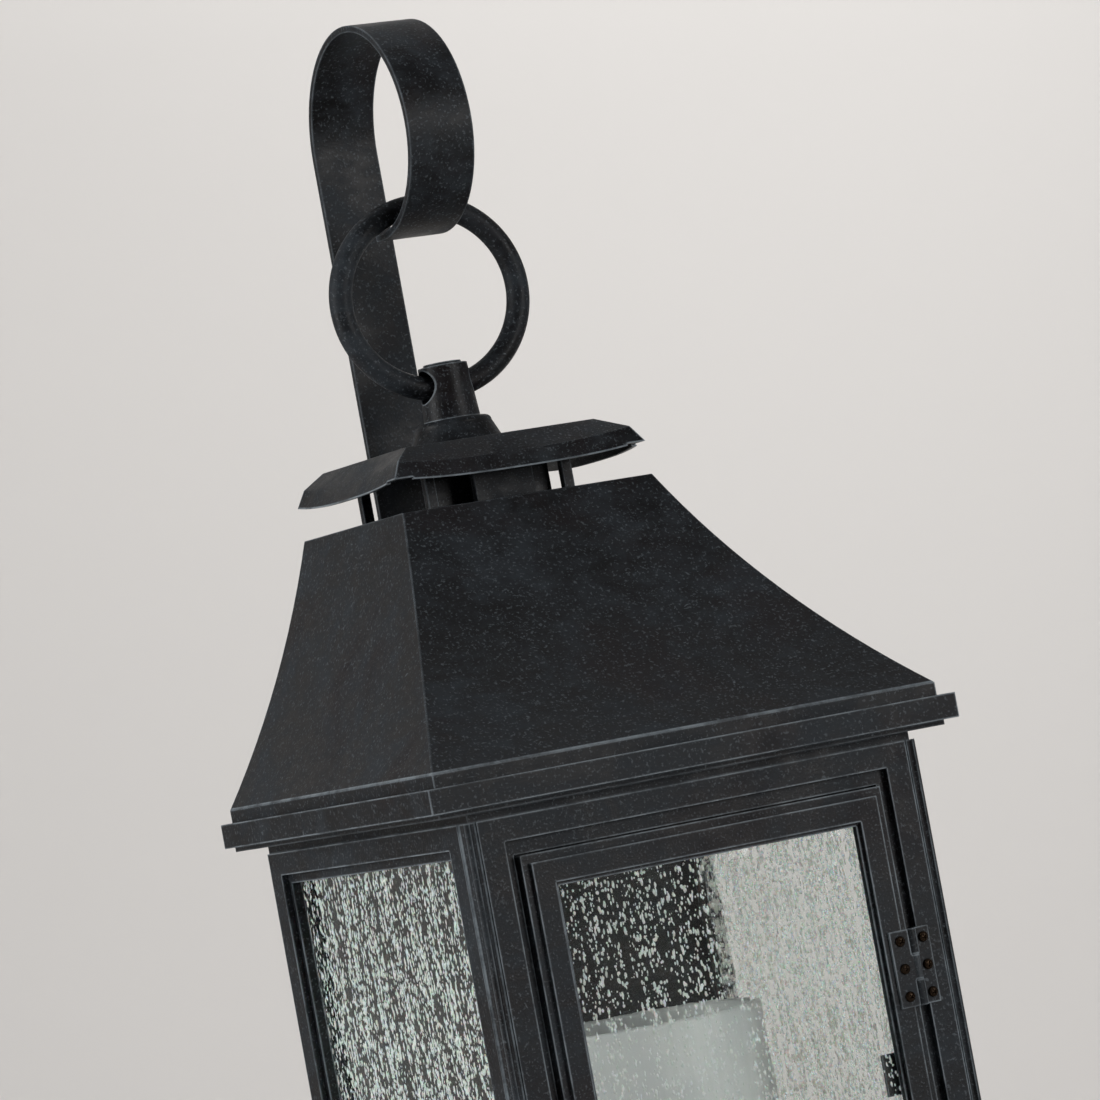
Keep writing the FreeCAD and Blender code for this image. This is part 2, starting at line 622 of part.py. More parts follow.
def fastener_group(label, fastener, places):
    """Equal fasteners; places are (point, direction that the head faces)."""
    copies = []
    for point, direction in places:
        copy = fastener.copy()
        copy.Placement = FreeCAD.Placement(point, FreeCAD.Rotation(UP, direction))
        copies.append(copy)
    return shape_piece(label, Part.makeCompound(copies))


pieces = []


def keep(piece):
    pieces.append(piece)
    return piece


# Fixing to the wall
def make_crossbar():
    slots = [slot(side + " box_spacing / 2", "0", "slot_length", "slot_width") for side in ("-", "+")]
    studs = [circle(side + " stud_spacing / 2", "0", "stud_radius") for side in ("-", "+")]
    bar = forward_plate("crossbar", "0", "crossbar_thickness",
                        centred("crossbar_length / 2", "crossbar_width / 2"),
                        circle("0", "0", "crossbar_hole_radius"),
                        circle("-ground_screw_offset", "0", "stud_radius"), *slots, *studs)
    end = number("crossbar_length / 2")
    add_fillet(bar, "crossbar_round", lambda edge: runs_along(edge, TO_WALL)
               and abs(abs(edge.Vertexes[0].X) - end) < CLOSE)
    return bar


def make_mounting_studs():
    length = number("stand_off + panel_thickness + stud_reach")
    stud = Part.makeCylinder(number("stud_radius"), length)
    places = [(spot(side + " stud_spacing / 2", "0", "0"), -TO_WALL) for side in ("-", "+")]
    return fastener_group("mounting_studs", stud, places)


def make_cap_nuts():
    """Domed nuts on the studs, inside the lantern."""
    radius, height = number("cap_nut_radius"), number("cap_nut_height")
    body = Part.makeCylinder(radius, height - radius)
    dome = Part.makeSphere(radius, FreeCAD.Vector(0, 0, height - radius))
    nut = body.fuse(dome.common(Part.makeCylinder(radius, height)))
    nut = nut.cut(Part.makeCylinder(number("stud_radius"), number("stud_reach")))
    places = [(spot(side + " stud_spacing / 2", INNER_PANEL, "0"), -TO_WALL) for side in ("-", "+")]
    return fastener_group("cap_nuts", nut, places)


def make_ground_screw():
    screw = round_head_screw(number("ground_head_radius"), number("ground_head_height"),
                             number("stud_radius"), number("crossbar_thickness"))
    return fastener_group("ground_screw", screw,
                          [(spot("-ground_screw_offset", "crossbar_thickness", "0"), -TO_WALL)])


def make_back_pan():
    """A shallow pan, open to the wall, that covers the junction box."""
    pan = forward_plate("back_pan", "0", "stand_off", centred("pan_width / 2", PAN_HALF_HEIGHT))
    add_fillet(pan, "pan_corner", lambda edge: runs_along(edge, TO_WALL))
    inside = new_sketch(pan, "XZ_Plane", "0")
    draw_rounded_rectangle(inside, "(pan_width / 2 - pan_sheet)", f"({PAN_HALF_HEIGHT} - pan_sheet)",
                           "(pan_corner - pan_sheet)")
    add_pocket(pan, inside, "stand_off - pan_sheet")
    cut_forward(pan, "0", "stand_off", *wire_and_stud_holes())
    return pan


def wire_and_stud_holes():
    studs = [circle(side + " stud_spacing / 2", "0", "stud_radius + stud_room") for side in ("-", "+")]
    return [circle("0", "-wire_drop", "wire_hole_radius"), *studs]


def strap_screw_heights():
    return [f"{STRAP_SCREW_MIDDLE} {side} strap_screw_spacing / 2" for side in ("-", "+")]


def make_back_panel():
    """A plate with a low rim, a little narrower than the body so that its edge doesn't show."""
    full_depth = "(panel_thickness + panel_rim)"
    panel = forward_plate("back_panel", "stand_off", full_depth,
                          centred(f"({HALF_BODY} - panel_inset)", HALF_HEIGHT))
    cut_forward(panel, INNER_PANEL, "panel_rim",
                centred(f"({HALF_BODY} - panel_rim_width)", f"({HALF_HEIGHT} - panel_rim_width)"))
    strap_holes = [circle("0", height, "stud_radius") for height in strap_screw_heights()]
    cut_forward(panel, "stand_off", "panel_thickness", *wire_and_stud_holes(), *strap_holes)
    cut_forward(panel, "stand_off", full_depth,
                *[circle(across, up, "screw_radius") for across, up in panel_screw_spots()])
    return panel


def panel_screw_spots():
    """Screws through the panel's rim into the back edges of the side frames."""
    across = f"(({HALF_BODY} - panel_inset + {SIDE_INNER}) / 2)"
    heights = ("-panel_screw_share * body_height", "0", "panel_screw_share * body_height")
    return [(side + across, height) for side in ("-", "+") for height in heights]


def make_panel_screws():
    screw = small_screw(PANEL_SCREW)
    places = [(spot(across, "stand_off", up), TO_WALL) for across, up in panel_screw_spots()]
    return fastener_group("panel_screws", screw, places)


def make_wire_grommet():
    """A rubber grommet with a groove for the two sheets that it lines."""
    flange, near, far = "wire_hole_radius + grommet_flange", "-pan_sheet", "panel_thickness"
    outline = [("wire_bore_radius", f"{near} - grommet_lip"), (flange, f"{near} - grommet_lip"),
               (flange, near), ("wire_hole_radius", near), ("wire_hole_radius", far), (flange, far),
               (f"{flange} - grommet_lip", f"{far} + grommet_lip"),
               ("wire_bore_radius", f"{far} + grommet_lip")]
    return turned_forward("wire_grommet", outline, "0", "-wire_drop", "stand_off")


# Strap and its fixing
def make_strap_spacer():
    low = f"({STRAP_FOOT} + spacer_lift)"
    holes = [circle("0", height, "stud_radius") for height in strap_screw_heights()]
    return forward_plate("strap_spacer", "strap_thickness", "stand_off - strap_thickness",
                         rectangle("-spacer_width / 2", "spacer_width / 2", low, f"{low} + spacer_height"),
                         *holes)


def make_crook_strap():
    """A flat bar that lies on the wall, turns over forward and curls back under itself."""
    bar = new_body("crook_strap")
    sketch = new_sketch(bar, "YZ_Plane", "-strap_width / 2")
    front = "(-2 * crook_radius)"
    inner_crook = "(crook_radius - strap_thickness)"
    inner_curl = "(curl_radius - strap_thickness)"
    curl_middle = f"({front} + curl_radius)"
    lean = "(curl_angle - 90)"

    def on_curl(radius):
        return (f"{curl_middle} + {radius} * sin({lean})", f"{CROOK_HEIGHT} - {radius} * cos({lean})")

    def on_crook_top(radius):
        return ("-crook_radius", f"{CROOK_HEIGHT} + {radius}")

    outer_end, inner_end = on_curl("curl_radius"), on_curl(inner_curl)
    draw_outline(sketch, [
        ("0", STRAP_FOOT),
        ("0", CROOK_HEIGHT, "crook_radius", -1),
        (*on_crook_top("crook_radius"), "crook_radius", -1),
        (front, CROOK_HEIGHT, "curl_radius", -1),
        outer_end,
        (*inner_end, inner_curl, 1),
        (f"{front} + strap_thickness", CROOK_HEIGHT, inner_crook, 1),
        (*on_crook_top(inner_crook), inner_crook, 1),
        ("-strap_thickness", CROOK_HEIGHT),
        ("-strap_thickness", STRAP_FOOT)])
    add_pad(bar, sketch, "strap_width")
    cut_forward(bar, "0", "strap_thickness",
                *[circle("0", height, "stud_radius") for height in strap_screw_heights()])
    return bar


def make_strap_screws():
    screw = round_head_screw(number("strap_head_radius"), number("strap_head_height"),
                             number("stud_radius"), number("stand_off + panel_thickness - play"))
    places = [(spot("0", INNER_PANEL, height), -TO_WALL) for height in strap_screw_heights()]
    return fastener_group("strap_screws", screw, places)


# Body frames
def make_corner_post(label, side):
    """A corner bead, a rounded nose between two hollow coves, with an inner lug for both frames."""
    post = new_body(label)
    sketch = new_sketch(post, "XY_Plane", minus(HALF_HEIGHT))
    outer, front = f"({HALF_BODY} + post_proud)", f"({FACE} + post_proud)"
    front_cove, side_cove = [f"(({width} - post_nose) * cove_share)"
                             for width in ("post_width", "post_depth")]
    corners = [(POST_INNER, FACE, front_cove, 1), (f"({outer} - post_nose)", front, "post_nose", -1),
               (outer, f"({front} - post_nose)", side_cove, 1),
               (HALF_BODY, f"({front} - post_depth)"), (SIDE_INNER, f"({front} - post_depth)"),
               (SIDE_INNER, f"({FRAME_BACK} - lug_depth)"),
               (f"({SIDE_INNER} - lug_width)", f"({FRAME_BACK} - lug_depth)"),
               (f"({SIDE_INNER} - lug_width)", FRAME_BACK), (POST_INNER, FRAME_BACK)]
    outline = []
    for across, forward, *bow in corners:
        curve = (bow[0], bow[1] * side) if bow else ()
        outline.append((f"{side} * {across}", minus(forward), *curve))
    draw_outline(sketch, outline)
    add_pad(post, sketch, "body_height")
    across = f"{side} * ({SIDE_INNER} - lug_width / 2)"
    cut_forward(post, "stand_off", "body_depth",
                *[circle(across, height, "screw_radius") for height in post_screw_heights("front")])
    start = minus(HALF_BODY) if side < 0 else "0"
    drill_across(post, start, [(LUG_MIDDLE, up) for up in post_screw_heights("side")])
    return post


def post_screw_heights(face):
    return [f"{side} {face}_screw_share * body_height" for side in ("-", "+")]


def make_front_frame():
    """The front frame: flat border, sunk strip round the doorway and a stop behind the door."""
    frame = forward_plate("front_frame", FRAME_BACK, "frame_thickness", centred(FRONT_HALF, HALF_HEIGHT),
                          centred(DOORWAY_HALF, DOORWAY_TOP))
    cut_forward(frame, f"({FACE} - front_recess_depth)", "front_recess_depth",
                centred(RECESS_HALF, f"{HALF_HEIGHT} - rail"))
    stop = new_sketch(frame, "XZ_Plane", STOP_BACK)
    centred(RECESS_HALF, f"{HALF_HEIGHT} - rail")(stop)
    centred(f"({DOORWAY_HALF} - stop_width)", f"({DOORWAY_TOP} - stop_width)")(stop)
    add_pad(frame, stop, "stop_depth")
    web = new_sketch(frame, "XZ_Plane", STOP_FRONT)
    centred(RECESS_HALF, f"{HALF_HEIGHT} - rail")(web)
    centred(DOORWAY_HALF, DOORWAY_TOP)(web)
    add_pad(frame, web, "groove")
    screw_holes = [circle(f"{side} ({SIDE_INNER} - lug_width / 2)", height, "screw_radius")
                   for side in ("-", "+") for height in post_screw_heights("front")]
    cut_forward(frame, FRAME_BACK, f"{POST_SCREW} - lug_depth", *screw_holes)
    hinge_holes = [circle(PIN_SIDE + " + frame_screw_inset", height, "screw_radius")
                   for height in hinge_screw_heights()]
    cut_forward(frame, f"{FACE} - hinge_screw_depth", "frame_thickness", *hinge_holes)
    return frame


def make_side_frame(label):
    """The left frame; the right one is its mirror image."""
    frame = new_body(label)
    sketch = new_sketch(frame, "YZ_Plane", minus(HALF_BODY))
    draw_rectangle(sketch, minus(SIDE_FRONT), minus(SIDE_BACK), minus(HALF_HEIGHT), HALF_HEIGHT)
    draw_rectangle(sketch, minus(SIDE_OPENING_FRONT), minus(SIDE_OPENING_BACK), minus(SIDE_OPENING_TOP),
                   SIDE_OPENING_TOP)
    add_pad(frame, sketch, "side_frame_thickness")
    recess = new_sketch(frame, "YZ_Plane", minus(HALF_BODY))
    draw_rectangle(recess, f"-({SIDE_FRONT} - stile)", f"-({SIDE_BACK} + stile)",
                   "-(body_height / 2 - rail)", "body_height / 2 - rail")
    add_pocket(frame, recess, "side_recess_depth")
    cut_forward(frame, "stand_off", PANEL_SCREW, *[
        circle(across, up, "screw_radius") for across, up in panel_screw_spots() if across[0] == "-"])
    lug_spots = [(LUG_MIDDLE, up) for up in post_screw_heights("side")]
    drill_across(frame, f"-({SIDE_INNER} + side_frame_thickness * screw_bite)", lug_spots + side_clip_spots())
    return frame


def drill_across(body, start, spots):
    """Screw holes that run to the right from an upright plane; spots are (forward, up)."""
    sketch = new_sketch(body, "YZ_Plane", start)
    for forward, up in spots:
        draw_circle(sketch, minus(forward), up, "screw_radius")
    add_pocket(body, sketch, "body_width")


def mirrored(label, source):
    """The mirror image of a piece on the other side of the lantern."""
    image = doc.addObject("Part::Mirroring", label)
    image.Label = label
    image.Source = source
    image.Base = FreeCAD.Vector()
    image.Normal = FreeCAD.Vector(1, 0, 0)
    doc.recompute()
    return image


def make_side_glass(label, side):
    edges = (f"({SIDE_INNER} - glass_thickness)", SIDE_INNER)
    if side < 0:
        edges = (minus(edges[1]), minus(edges[0]))
    return block(label, *edges, SIDE_GLASS_BACK, SIDE_GLASS_FRONT, minus(SIDE_GLASS_TOP), SIDE_GLASS_TOP)


def make_post_screws():
    """Screws through the lugs, forward into the front frame and sideways into the side frames."""
    places = []
    for side, outward in (("-", FreeCAD.Vector(-1, 0, 0)), ("+", FreeCAD.Vector(1, 0, 0))):
        for height in post_screw_heights("front"):
            across = f"{side} ({SIDE_INNER} - lug_width / 2)"
            places.append((spot(across, f"{FRAME_BACK} - lug_depth", height), TO_WALL))
        for height in post_screw_heights("side"):
            places.append((spot(f"{side} ({SIDE_INNER} - lug_width)", LUG_MIDDLE, height), -outward))
    return fastener_group("post_screws", small_screw(POST_SCREW), places)


# Eaves and roof
def roof_screw_spots():
    """Roof screws go up through the ring of the top frame, beside its opening."""
    across = "(top_opening_width / 2 + roof_screw_aside)"
    forwards = ("(stand_off + top_opening_back + roof_screw_inset)",
                "(stand_off + top_opening_front - roof_screw_inset)")
    return [(side + across, forward) for side in ("-", "+") for forward in forwards]


def cut_up(body, start, depth, places, radius):
    """Upright holes, cut up from a level plane."""
    sketch = new_sketch(body, "XY_Plane", start)
    for across, forward in places:
        draw_circle(sketch, across, minus(forward), radius)
    add_pocket(body, sketch, depth)


def make_top_frame():
    ring = flat_ring("top_frame", HALF_HEIGHT, "top_frame_height",
                     (f"({HALF_BODY} - top_frame_inset)", "(stand_off + top_frame_inset)",
                      f"({FACE} - top_frame_inset)"), TOP_OPENING)
    cut_up(ring, HALF_HEIGHT, "top_frame_height", roof_screw_spots(), "screw_radius")
    return ring


def make_soffit():
    ring = flat_ring("soffit", TOP_FRAME_TOP, "soffit_height",
                     ("(eaves_width / 2 - soffit_inset)", "stand_off",
                      "(stand_off + eaves_depth - soffit_inset)"), TOP_OPENING)
    cut_up(ring, TOP_FRAME_TOP, "soffit_height", roof_screw_spots(), "screw_radius")
    return ring


def make_eaves():
    """The moulding that the roof stands on: a plain band with a set-back lip."""
    ring = flat_ring("eaves", EAVES_FOOT, "fascia_height",
                     ("eaves_width / 2", "stand_off", "(stand_off + eaves_depth)"), TOP_OPENING)
    lip = new_sketch(ring, "XY_Plane", f"{EAVES_FOOT} + fascia_height")
    for half_width, back, front in (("(eaves_width / 2 - lip_inset)", "stand_off",
                                     "(stand_off + eaves_depth - lip_inset)"), TOP_OPENING):
        draw_rectangle(lip, minus(half_width), half_width, minus(front), minus(back))
    add_pad(ring, lip, "lip_height")
    cut_up(ring, EAVES_FOOT, "fascia_height * screw_bite", roof_screw_spots(), "screw_radius")
    return ring


def on_flare(foot, rim, wall, height):
    """How far out a flared face stands at a height above the roof's foot. The face is an arc of
    flare_radius that sags inwards between foot and rim. The wall is measured in from its outside."""
    span = f"sqrt(({foot} - {rim})^2 + roof_height^2)"
    reach = f"sqrt(flare_radius^2 - ({span})^2 / 4)"
    centre = f"(({foot} + {rim}) / 2 + {reach} * roof_height / {span})"
    centre_height = f"(roof_height / 2 + {reach} * ({foot} - {rim}) / {span})"
    return f"({centre} - sqrt((flare_radius + {wall})^2 - ({height} - {centre_height})^2))"


def make_flared_form(label, wall):
    """The roof's solid form, with three flared faces and an upright back, or the same form made
    smaller by a wall on every side but the foot."""
    form = new_body(label)
    height = f"(roof_height - {wall})"
    top, radius = f"({ROOF_FOOT} + {height})", f"flare_radius + {wall}"
    side_flare = ("(eaves_width / 2 - lip_inset)", "(rim_width / 2)", wall)
    front_flare = ("(stand_off + eaves_depth - lip_inset)", "(stand_off + rim_depth)", wall)
    foot_half, rim_half = on_flare(*side_flare, "0"), on_flare(*side_flare, height)
    foot_front, rim_front = on_flare(*front_flare, "0"), on_flare(*front_flare, height)
    side_view = new_sketch(form, "XZ_Plane", f"stand_off + {wall}")
    draw_outline(side_view, [
        (minus(foot_half), ROOF_FOOT), (foot_half, ROOF_FOOT, radius, 1),
        (rim_half, top), (minus(rim_half), top, radius, 1)])
    add_pad(form, side_view, f"{foot_front} - stand_off - {wall}")
    waste = new_sketch(form, "YZ_Plane", minus(foot_half))
    beyond, above = f"-{foot_front} - roof_height", f"{ROOF_TOP} + roof_wall"
    draw_outline(waste, [
        (minus(foot_front), ROOF_FOOT), (beyond, ROOF_FOOT), (beyond, above),
        (minus(rim_front), above), (minus(rim_front), top, radius, 1)])
    add_pocket(form, waste, "eaves_width")
    return form


def make_roof():
    """A hollow casting, open at its foot, with a vent hole in its flat top."""
    outside = make_flared_form("roof_outside", "0")
    vent = new_sketch(outside, "XY_Plane", f"{ROOF_TOP} - 2 * roof_wall")
    draw_rectangle(vent, "-vent_hole / 2", "vent_hole / 2", f"-({VENT_FORWARD} + vent_hole / 2)",
                   f"-({VENT_FORWARD} - vent_hole / 2)")
    add_pocket(outside, vent, "roof_wall * 3")
    roof = doc.addObject("Part::Cut", "roof")
    roof.Label = "roof"
    roof.Base = outside
    roof.Tool = make_flared_form("roof_hollow", "roof_wall")
    doc.recompute()
    return roof


def make_roof_screws():
    places = [(spot(across, forward, HALF_HEIGHT), -UP) for across, forward in roof_screw_spots()]
    return fastener_group("roof_screws", small_screw(ROOF_SCREW), places)


# Vent neck and cap
def make_vent_neck():
    """Four corner posts between a bottom ring and a top plate."""
    neck = new_body("vent_neck")
    half = "neck_width / 2"
    base = new_sketch(neck, "XY_Plane", ROOF_TOP)
    draw_rectangle(base, minus(half), half, minus(NECK_FRONT), minus(NECK_BACK))
    draw_rectangle(base, "-neck_opening / 2", "neck_opening / 2", f"-({VENT_FORWARD} + neck_opening / 2)",
                   f"-({VENT_FORWARD} - neck_opening / 2)")
    add_pad(neck, base, "neck_plate")
    posts = new_sketch(neck, "XY_Plane", ROOF_TOP)
    for side in ("-", "+"):
        for end in ("back", "front"):
            across = sorted((f"{side} {half}", f"{side} ({half} - neck_post_width)"), key=number)
            near = (NECK_FRONT, f"{NECK_FRONT} - neck_post_depth")
            far = (f"{NECK_BACK} + neck_post_depth", NECK_BACK)
            forward = near if end == "front" else far
            draw_rectangle(posts, *across, minus(forward[0]), minus(forward[1]))
    add_pad(neck, posts, "neck_height")
    top = new_sketch(neck, "XY_Plane", f"{NECK_TOP} - neck_plate")
    draw_rectangle(top, minus(half), half, minus(NECK_FRONT), minus(NECK_BACK))
    add_pad(neck, top, "neck_plate")
    cut_up(neck, f"{NECK_TOP} - 2 * neck_plate", "neck_plate * 3", [("0", VENT_FORWARD)], "bolt_radius")
    return neck


def make_baffle():
    middle = f"({VENT_FORWARD} + baffle_forward)"
    return block("baffle", "-baffle_width / 2", "baffle_width / 2", f"{middle} - baffle_thickness / 2",
                 f"{middle} + baffle_thickness / 2", f"{ROOF_TOP} + neck_plate", f"{NECK_TOP} - neck_plate")


def make_cap_stay():
    back = f"({NECK_FRONT} + play * 2)"
    return block("cap_stay", "-stay_width / 2", "stay_width / 2", back, f"{back} + stay_thickness",
                 ROOF_TOP, NECK_TOP)


# Shape of a hanging edge: a share of the way along it, and the share of its sag that it has there
HANG = ((0.2, 0.75), (0.5, 1.0), (0.8, 0.75))


def hanging_edge(start, end, sag):
    """An edge between two corners that drops quickly beside them and runs nearly level between."""
    points = [start]
    for share, drop in HANG:
        points.append(start + (end - start) * share - UP * sag * drop)
    points.append(end)
    curve = Part.BSplineCurve()
    curve.interpolate(points)
    return curve.toShape()


def cap_level(half_width, front, height, sag):
    """One level of the cap. Its left, front and right edges hang by sag, and its back edge is straight."""
    back = number("stand_off")
    corners = [FreeCAD.Vector(-half_width, -back, height), FreeCAD.Vector(-half_width, -front, height),
               FreeCAD.Vector(half_width, -front, height), FreeCAD.Vector(half_width, -back, height)]
    edges = [hanging_edge(start, end, sag) for start, end in zip(corners, corners[1:])]
    edges.append(Part.LineSegment(corners[3], corners[0]).toShape())
    return Part.Wire(edges)


def cap_body(inset, drop):
    """The cap as if it were solid down to a level cut below its border, moved in and down by the sheet."""
    back, top = number("stand_off"), number(CAP_TOP)
    edge_height, border_drop = top - number("cap_slope_drop"), number("cap_border_drop")
    flat_half, edge_half = number("cap_flat_width / 2"), number("cap_edge_width / 2")
    edge_front = number("cap_edge_front")
    stretch = (border_drop + 2 * number("cap_sag")) / border_drop
    foot_half = edge_half + (number("cap_width / 2") - edge_half) * stretch
    foot_front = edge_front + (number("cap_front") - edge_front) * stretch
    levels = ((flat_half, back + number("cap_flat_front"), top, 0),
              (edge_half, back + edge_front, edge_height, number("cap_sag")),
              (foot_half, back + foot_front, edge_height - border_drop * stretch, 0))
    wires = [cap_level(half - inset, front - inset, height - drop, sag)
             for half, front, height, sag in levels]
    return Part.makeLoft(wires, True, True)


def below_border(start, end, across):
    """What lies below the hanging lower edge from start to end and below both corners."""
    deep = UP * number("cap_border_drop + cap_sag") * 2
    past = (end - start).normalize() * across.Length
    corners = [end, end + past, end + past - deep, start - past - deep, start - past, start]
    sides = [hanging_edge(start, end, number("cap_sag"))]
    sides += [Part.LineSegment(a, b).toShape() for a, b in zip(corners, corners[1:])]
    return Part.Face(Part.Wire(sides)).extrude(across)


def make_vent_cap():
    """A folded sheet cap: a flat top, sloping faces and a border that hangs between upswept corners."""
    sheet, back, front = number("cap_sheet"), -number("stand_off"), -number("stand_off + cap_front")
    half_width = number("cap_width / 2")
    foot = number(f"{CAP_TOP} - cap_slope_drop - cap_border_drop")
    border = number("cap_width / 2 - cap_edge_width / 2 + 3 * cap_sheet")
    cap = cap_body(0, 0).cut(cap_body(sheet, sheet))
    for side in (-1, 1):
        outside = side * (half_width + border)
        cap = cap.cut(below_border(FreeCAD.Vector(outside, back, foot), FreeCAD.Vector(outside, front, foot),
                                   FreeCAD.Vector(-side * 2 * border, 0, 0)))
    outside = front - border
    cap = cap.cut(below_border(FreeCAD.Vector(-half_width, outside, foot),
                               FreeCAD.Vector(half_width, outside, foot), FreeCAD.Vector(0, 2 * border, 0)))
    hole = Part.makeCylinder(number("bolt_radius"), sheet * 4,
                             spot("0", VENT_FORWARD, f"{CAP_TOP} - 2 * cap_sheet"))
    return shape_piece("vent_cap", cap.cut(hole))


# Collar, stem and ring
def make_collar():
    shoulder = "(collar_top_radius - collar_round)"
    return turned_body("collar", [
        ("bolt_radius", CAP_TOP), ("collar_foot_radius", CAP_TOP),
        ("collar_top_radius", f"{COLLAR_TOP} - collar_round", "collar_round", -1),
        (shoulder, COLLAR_TOP), ("bolt_radius", COLLAR_TOP)], VENT_FORWARD)


def make_stem():
    """A tapered stem with a low disc on top, a cross hole for the ring and a threaded lower end."""
    bolt_foot = f"({NECK_TOP} - neck_plate - bolt_end)"
    stem = turned_body("stem", [
        ("0", bolt_foot), ("bolt_radius", bolt_foot), ("bolt_radius", COLLAR_TOP),
        ("stem_foot_radius", COLLAR_TOP), ("stem_top_radius", STEM_TOP),
        ("stem_disc_radius", STEM_TOP), ("stem_disc_radius", f"{STEM_TOP} + stem_disc_height"),
        ("0", f"{STEM_TOP} + stem_disc_height")], VENT_FORWARD)
    hole = new_sketch(stem, "YZ_Plane", "-stem_foot_radius * 2")
    draw_circle(hole, minus(VENT_FORWARD), CROSS_HOLE_HEIGHT, "wire_radius + cross_hole_room")
    add_pocket(stem, hole, "stem_foot_radius * 4")
    return stem


def make_stem_nut():
    radius, height = number("stem_nut_radius"), number("stem_nut_height")
    corners = [FreeCAD.Vector(radius * math.cos(math.radians(60 * turn)),
                              radius * math.sin(math.radians(60 * turn)), 0) for turn in range(6)]
    prism = Part.Face(Part.makePolygon(corners + corners[:1])).extrude(FreeCAD.Vector(0, 0, height))
    nut = prism.cut(Part.makeCylinder(number("bolt_radius"), height))
    nut.translate(spot("0", VENT_FORWARD, f"{NECK_TOP} - neck_plate") - FreeCAD.Vector(0, 0, height))
    return shape_piece("stem_nut", nut)


def make_ring():
    ring = doc.addObject("Part::Torus", "ring")
    ring.Label = "ring"
    ring.setExpression("Radius1", in_sheet_terms("ring_radius"))
    ring.setExpression("Radius2", in_sheet_terms("wire_radius"))
    turn = math.radians(number("ring_turn"))
    axis = FreeCAD.Vector(math.sin(turn), math.cos(turn), 0)
    ring.Placement = FreeCAD.Placement(FreeCAD.Vector(), FreeCAD.Rotation(UP, axis))
    ring.setExpression("Placement.Base.y", in_sheet_terms(minus(VENT_FORWARD)))
    ring.setExpression("Placement.Base.z", in_sheet_terms(RING_HEIGHT))
    doc.recompute()
    return ring


# Base
def base_screw_spots():
    across = "(base_opening_width / 2 + base_ledge / 2)"
    forwards = ("(stand_off + base_opening_back + base_screw_inset)",
                "(stand_off + base_opening_front - base_screw_inset)")
    return [(side + across, forward) for side in ("-", "+") for forward in forwards]


def make_base():
    """The base moulding: two steps outside, and a ledge inside that the base plate is screwed up to."""
    base = new_body("base")
    upper = new_sketch(base, "XY_Plane", "-body_height / 2 - base_ledge_height")
    draw_rectangle(upper, "-(body_width / 2 + base_ledge_proud)", "body_width / 2 + base_ledge_proud",
                   f"-({FACE} + base_ledge_proud)", "-stand_off")
    add_pad(base, upper, "base_ledge_height")
    lower = new_sketch(base, "XY_Plane", BASE_FOOT)
    draw_rectangle(lower, "-(body_width / 2 + base_proud)", "body_width / 2 + base_proud",
                   f"-({FACE} + base_proud)", "-stand_off")
    add_pad(base, lower, "base_height - base_ledge_height")
    opening = new_sketch(base, "XY_Plane", BASE_FOOT)
    half_width, back, front = BASE_OPENING
    draw_rectangle(opening, minus(half_width), half_width, minus(front), minus(back))
    add_pocket(base, opening, "base_height * 2")
    rebate = new_sketch(base, "XY_Plane", BASE_FOOT)
    draw_rectangle(rebate, f"-({half_width} + base_ledge)", f"{half_width} + base_ledge",
                   f"-({front} + base_ledge)", f"-({back} - base_ledge)")
    add_pocket(base, rebate, "base_height - base_ledge_thickness")
    cut_up(base, FLOOR, "base_ledge_thickness * screw_bite", base_screw_spots(), "screw_radius")
    step = number("-body_height / 2 - base_ledge_height")
    side_face = number("body_width / 2 + base_proud")
    front_face = number(f"{FACE} + base_proud")

    def on_step(edge):
        middle = edge.CenterOfMass
        level = all(abs(vertex.Z - step) < CLOSE for vertex in edge.Vertexes)
        return level and (abs(abs(middle.x) - side_face) < CLOSE or abs(-middle.y - front_face) < CLOSE)

    before = base.Tip
    chamfer = base.newObject("PartDesign::Chamfer", "chamfer")
    chamfer.Base = (before, edge_names(before.Shape, on_step))
    chamfer.setExpression("Size", in_sheet_terms("base_chamfer"))
    doc.recompute()
    return base


def make_base_plate():
    half_width, back, front = BASE_OPENING
    plate = new_body("base_plate")
    outline = new_sketch(plate, "XY_Plane", FLOOR_UNDER)
    margin = "(base_ledge - play)"
    draw_rectangle(outline, f"-({half_width} + {margin})", f"{half_width} + {margin}",
                   f"-({front} + {margin})", f"-({back} - {margin})")
    draw_circle(outline, "0", minus(LAMP_FORWARD), "nipple_radius")
    for across, forward in base_screw_spots():
        draw_circle(outline, across, minus(forward), "screw_radius")
    add_pad(plate, outline, "base_plate_thickness")
    return plate


def make_base_screws():
    places = [(spot(across, forward, FLOOR_UNDER), -UP) for across, forward in base_screw_spots()]
    return fastener_group("base_screws", small_screw(BASE_SCREW), places)


# Lamp
def make_cylinder_holder():
    """A dish that centres the glass cylinder."""
    rim_inner = "(holder_radius - holder_sheet)"
    return turned_body("cylinder_holder", [
        ("nipple_radius", FLOOR), ("holder_radius", FLOOR), ("holder_radius", f"{FLOOR} + holder_rim"),
        (rim_inner, f"{FLOOR} + holder_rim"), (rim_inner, HOLDER_TOP), ("nipple_radius", HOLDER_TOP)],
        LAMP_FORWARD)


def make_glass_cylinder():
    lip = "(cylinder_wall / 2)"
    top = f"({HOLDER_TOP} + cylinder_height)"
    inner = "(cylinder_radius - cylinder_wall)"
    return turned_body("glass_cylinder", [
        (inner, HOLDER_TOP), ("cylinder_radius", HOLDER_TOP),
        ("cylinder_radius", f"{top} - {lip}", lip, -1),
        (f"cylinder_radius - {lip}", top, lip, -1),
        (inner, f"{top} - {lip}")], LAMP_FORWARD)


